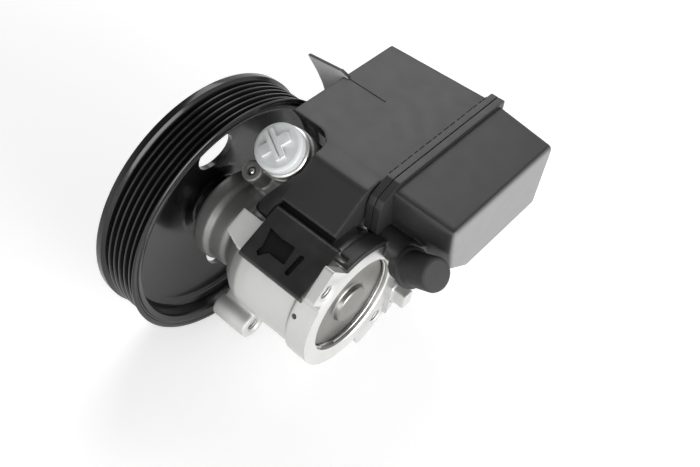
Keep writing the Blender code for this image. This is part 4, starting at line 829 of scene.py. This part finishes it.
def make_rear_tank():
    rear = tank_block("reservoir_rear_moulded", REAR_TANK, True, (57.7, 12), 0.944)
    bevel(rear, 2.4, 3, 40)
    parts = [prism("skirt", band(34.0, 37.6, 45, 104.5, 40), 95.8, 104.4)]
    elbow_x, elbow_y, elbow_z = ELBOW_PLACE
    parts.append(ball("elbow", 7.7, shift(*ELBOW_PLACE), 48))
    parts.append(cylinder("hood", 7.5, 97.5, elbow_x, shift(0, elbow_y, elbow_z) @ AXIAL, 64))
    parts.append(box("web", (97.75, elbow_y, elbow_z - 5), (118, 34.4, elbow_z + 5)))
    parts.append(cylinder("root", 7.5, -8, -0.6, NIPPLE, 64))
    combine(rear, parts, "UNION", 60)
    cuts = [cylinder("clear", 35.5, 90, 105.2, AXIAL, 128)]
    cuts.append(prism("slot", band(33.0, 39.6, 98, 103, 8), 94.8, 101))
    cuts.append(cylinder("room", 10.9, -1.2, 2.6, NIPPLE, 64))
    combine(rear, cuts, "DIFFERENCE", 60)
    skin(rear, voxel=0.6, smoothing=3)
    combine(rear, [cylinder("tube", 6.9, -6, 15.5, NIPPLE, 64, 0.6)], "UNION")
    combine(rear, [cylinder("bore", 4.4, -6, 17, NIPPLE, 48)], "DIFFERENCE")
    # The rear moulding's end face is grey as a painted sheen.
    place(dress(rear, REAR_SHEEN_PLASTIC), "pump", "reservoir_plastic", "reservoir_rear")


make_front_tank()
make_flange_half("seam_flange_front", FRONT_FLANGE)
make_flange_half("seam_flange_rear", REAR_FLANGE)
make_shadow_dashes()
make_fin()
make_foot()
make_tongues()
make_rear_tank()

# Return cap and filler cap

FILLER_GROOVES = 24


def make_dust_cap():
    outer = [(0, 19.8), (6.7, 19.8), (7.9, 19.3), (8.3, 18.2), (8.3, 2.6)]
    lip = [(9.6, 2.2), (10.1, 1.5), (10.1, 0.3), (9.5, -0.3)]
    inner = [(7.2, -0.3), (7.2, 17.6), (0, 17.6)]
    profile = soften(outer + lip + inner, 0.6, closed=False)
    dust_cap = lathe("return_dust_cap_moulded", profile, 96, NIPPLE, 50)
    place(dress(dust_cap, RUBBER), "dust_cap", "cap_rubber", "return_dust_cap")


def make_filler_cap():
    outer = [(0, 123.9), (11.0, 123.9), (12.5, 123.2), (13.0, 121.9), (13.0, 115.4)]
    inner = [(11.2, 115.4), (11.2, 120.1), (0, 120.1)]
    filler = lathe("filler_cap_moulded", soften(outer + inner, 0.7, closed=False), 144, FILLER, 50)
    grooves = []
    for i in range(FILLER_GROOVES):
        angle = 2 * math.pi * i / FILLER_GROOVES
        matrix = FILLER @ Matrix.Rotation(angle, 4, "Z") @ shift(13.5)
        grooves.append(cylinder("groove", 0.85, 114, 122.2, matrix, 16))
    combine(filler, grooves, "DIFFERENCE", 50)
    place(dress(filler, PLASTIC), "cap", "reservoir_plastic", "filler_cap")


make_dust_cap()
make_filler_cap()

# Clips

CLIP_TOP = 37.0
CLIP_HALF_LENGTH = 18.9
SHEET = 1.2


def clip_section():
    """The clip's sheet seen along the shaft: a lip bent down on the low side and a curl on the high side."""
    under = CLIP_TOP - SHEET
    lip = CLIP_TOP - 5.1
    curl = (10.5, CLIP_TOP - 3.0)
    outer = soften([(-16.2, lip), (-16.2, CLIP_TOP), (0, CLIP_TOP)], 2.0, closed=False, count=6)
    outer += arc(3.0, math.pi / 2, 0, 10, curl)
    inner = arc(1.8, 0, math.pi / 2, 8, curl)
    inner += soften([(0, under), (-15.0, under), (-15.0, lip)], 0.8, closed=False, count=4)
    return outer + inner


def make_clip(name, matrix, node):
    plate = prism(name, clip_section(), -CLIP_HALF_LENGTH, CLIP_HALF_LENGTH, matrix @ AXIAL)
    square = soften([(-6.6, -7.7), (2.9, -7.7), (1.8, 1.8), (-6.6, 1.4)], 0.6)
    tail = [(-6.4, 1.3), (-14.3, 2.2), (-11.9, -6.5), (-12.5, -10.2), (-10.2, -11.7), (-7.9, -8.8)]
    tail.append((-6.4, -7.6))
    slot = arc(1.4, 0, math.pi, 13, (7.2, -0.5)) + arc(1.4, math.pi, 2 * math.pi, 13, (6.6, -9.3))
    for outline in (square, tail, slot):
        combine(plate, [prism("window", outline, 33, 41, matrix)], "DIFFERENCE")
    even(bevel(plate, 0.15, 2, 40))
    place(dress(plate, CLIP), "pump", "clip_steel", node)


make_clip("upper_clip_pressing", UPPER, "upper_clip")
make_clip("lower_clip_pressing", LOWER, "lower_clip")

# CAD nodes that keep their own shape

KEPT = {
    "drive_shaft": STEEL, "shaft_bushing": BRONZE, "shaft_seal": RUBBER, "thrust_plate": STEEL,
    "cam_ring": STEEL, "rotor": STEEL, "rotor_retaining_ring": DARK_STEEL, "pressure_plate": STEEL,
    "pressure_plate_o_ring": RUBBER, "pressure_plate_spring": DARK_STEEL, "dowel_pin_1": STEEL,
    "dowel_pin_2": STEEL, "end_cover_o_ring": RUBBER, "flow_control_spool": STEEL,
    "spool_spring": DARK_STEEL, "outlet_union_o_ring": RUBBER, "passage_plug": WIRE,
    "filler_cap_gasket": RUBBER, "inlet_seal": RUBBER,
}
for i in range(10):
    KEPT[f"vane_{i + 1:02d}"] = STEEL
for node, material in KEPT.items():
    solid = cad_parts[node]
    dress(solid, material)
    solid.data.shade_smooth()
    solid.data.set_sharp_from_angle(angle=math.radians(35))

# Floor, background and light

FLOOR_HEIGHT = -69.5
FLOOR_REACH = 0.9
SKY_OVERHEAD = 0.14
LIGHT_FROM_SKY = 0.6
LAMP_AIM = (0.07, 0.03, 0.0)


def make_floor():
    """A pale sheet that ends near the lamps, so that little unlit floor shows behind them."""
    bm = bmesh.new()
    bmesh.ops.create_grid(bm, x_segments=1, y_segments=1, size=FLOOR_REACH)
    floor = add("floor", bm, shift(0, 0, FLOOR_HEIGHT))
    material = bpy.data.materials.new("floor")
    material.use_nodes = True
    shader = material.node_tree.nodes["Principled BSDF"]
    shader.inputs["Base Color"].default_value = (0.95, 0.95, 0.95, 1)
    shader.inputs["Roughness"].default_value = 0.9
    shader.inputs["Specular IOR Level"].default_value = 0.1
    shader.inputs["Emission Color"].default_value = (1, 1, 1, 1)
    shader.inputs["Emission Strength"].default_value = 0.38
    dress(floor, material)


def add_up(tree, first, second):
    total = tree.nodes.new("ShaderNodeMath")
    total.operation = "ADD"
    total.use_clamp = True
    tree.links.new(first, total.inputs[0])
    tree.links.new(second, total.inputs[1])
    return total.outputs[0]


def make_world():
    """White at the horizon and dim overhead, and fainter as a light than as it is seen or mirrored."""
    world = bpy.data.worlds.new("world")
    SCENE.world = world
    world.use_nodes = True
    tree = world.node_tree
    sky = tree.nodes.new("ShaderNodeSeparateXYZ")
    tree.links.new(tree.nodes.new("ShaderNodeTexCoord").outputs["Generated"], sky.inputs[0])
    dim = tree.nodes.new("ShaderNodeMapRange")
    dim.inputs["From Min"].default_value = 0.25
    dim.inputs["From Max"].default_value = 0.75
    dim.inputs["To Min"].default_value = 1.0
    dim.inputs["To Max"].default_value = SKY_OVERHEAD
    tree.links.new(sky.outputs["Z"], dim.inputs["Value"])
    light = tree.nodes["Background"]
    light.inputs["Strength"].default_value = LIGHT_FROM_SKY
    tree.links.new(dim.outputs["Result"], light.inputs["Color"])
    picture = tree.nodes.new("ShaderNodeBackground")
    picture.inputs["Strength"].default_value = 1.0
    tree.links.new(dim.outputs["Result"], picture.inputs["Color"])
    path = tree.nodes.new("ShaderNodeLightPath")
    seen = add_up(tree, path.outputs["Is Camera Ray"], path.outputs["Is Glossy Ray"])
    seen = add_up(tree, seen, path.outputs["Is Transmission Ray"])
    mix = tree.nodes.new("ShaderNodeMixShader")
    tree.links.new(seen, mix.inputs["Fac"])
    tree.links.new(light.outputs[0], mix.inputs[1])
    tree.links.new(picture.outputs[0], mix.inputs[2])
    tree.links.new(mix.outputs[0], tree.nodes["World Output"].inputs["Surface"])


def make_lamp(name, position, size, power):
    """A square lamp that looks at the middle of the object."""
    data = bpy.data.lights.new(name, "AREA")
    data.shape = "SQUARE"
    data.size = size
    data.energy = power
    obj = bpy.data.objects.new(name, data)
    SCENE.collection.objects.link(obj)
    obj.location = position
    obj.rotation_euler = (Vector(LAMP_AIM) - Vector(position)).to_track_quat("-Z", "Y").to_euler()


make_floor()
make_world()
make_lamp("key", (0.35, -0.85, 0.25), 0.6, 3)
make_lamp("back", (-0.35, 0.62, 0.85), 0.7, 5)
make_lamp("rear", (0.95, -0.05, 0.22), 0.6, 7)

SCENE.view_settings.view_transform = "Standard"
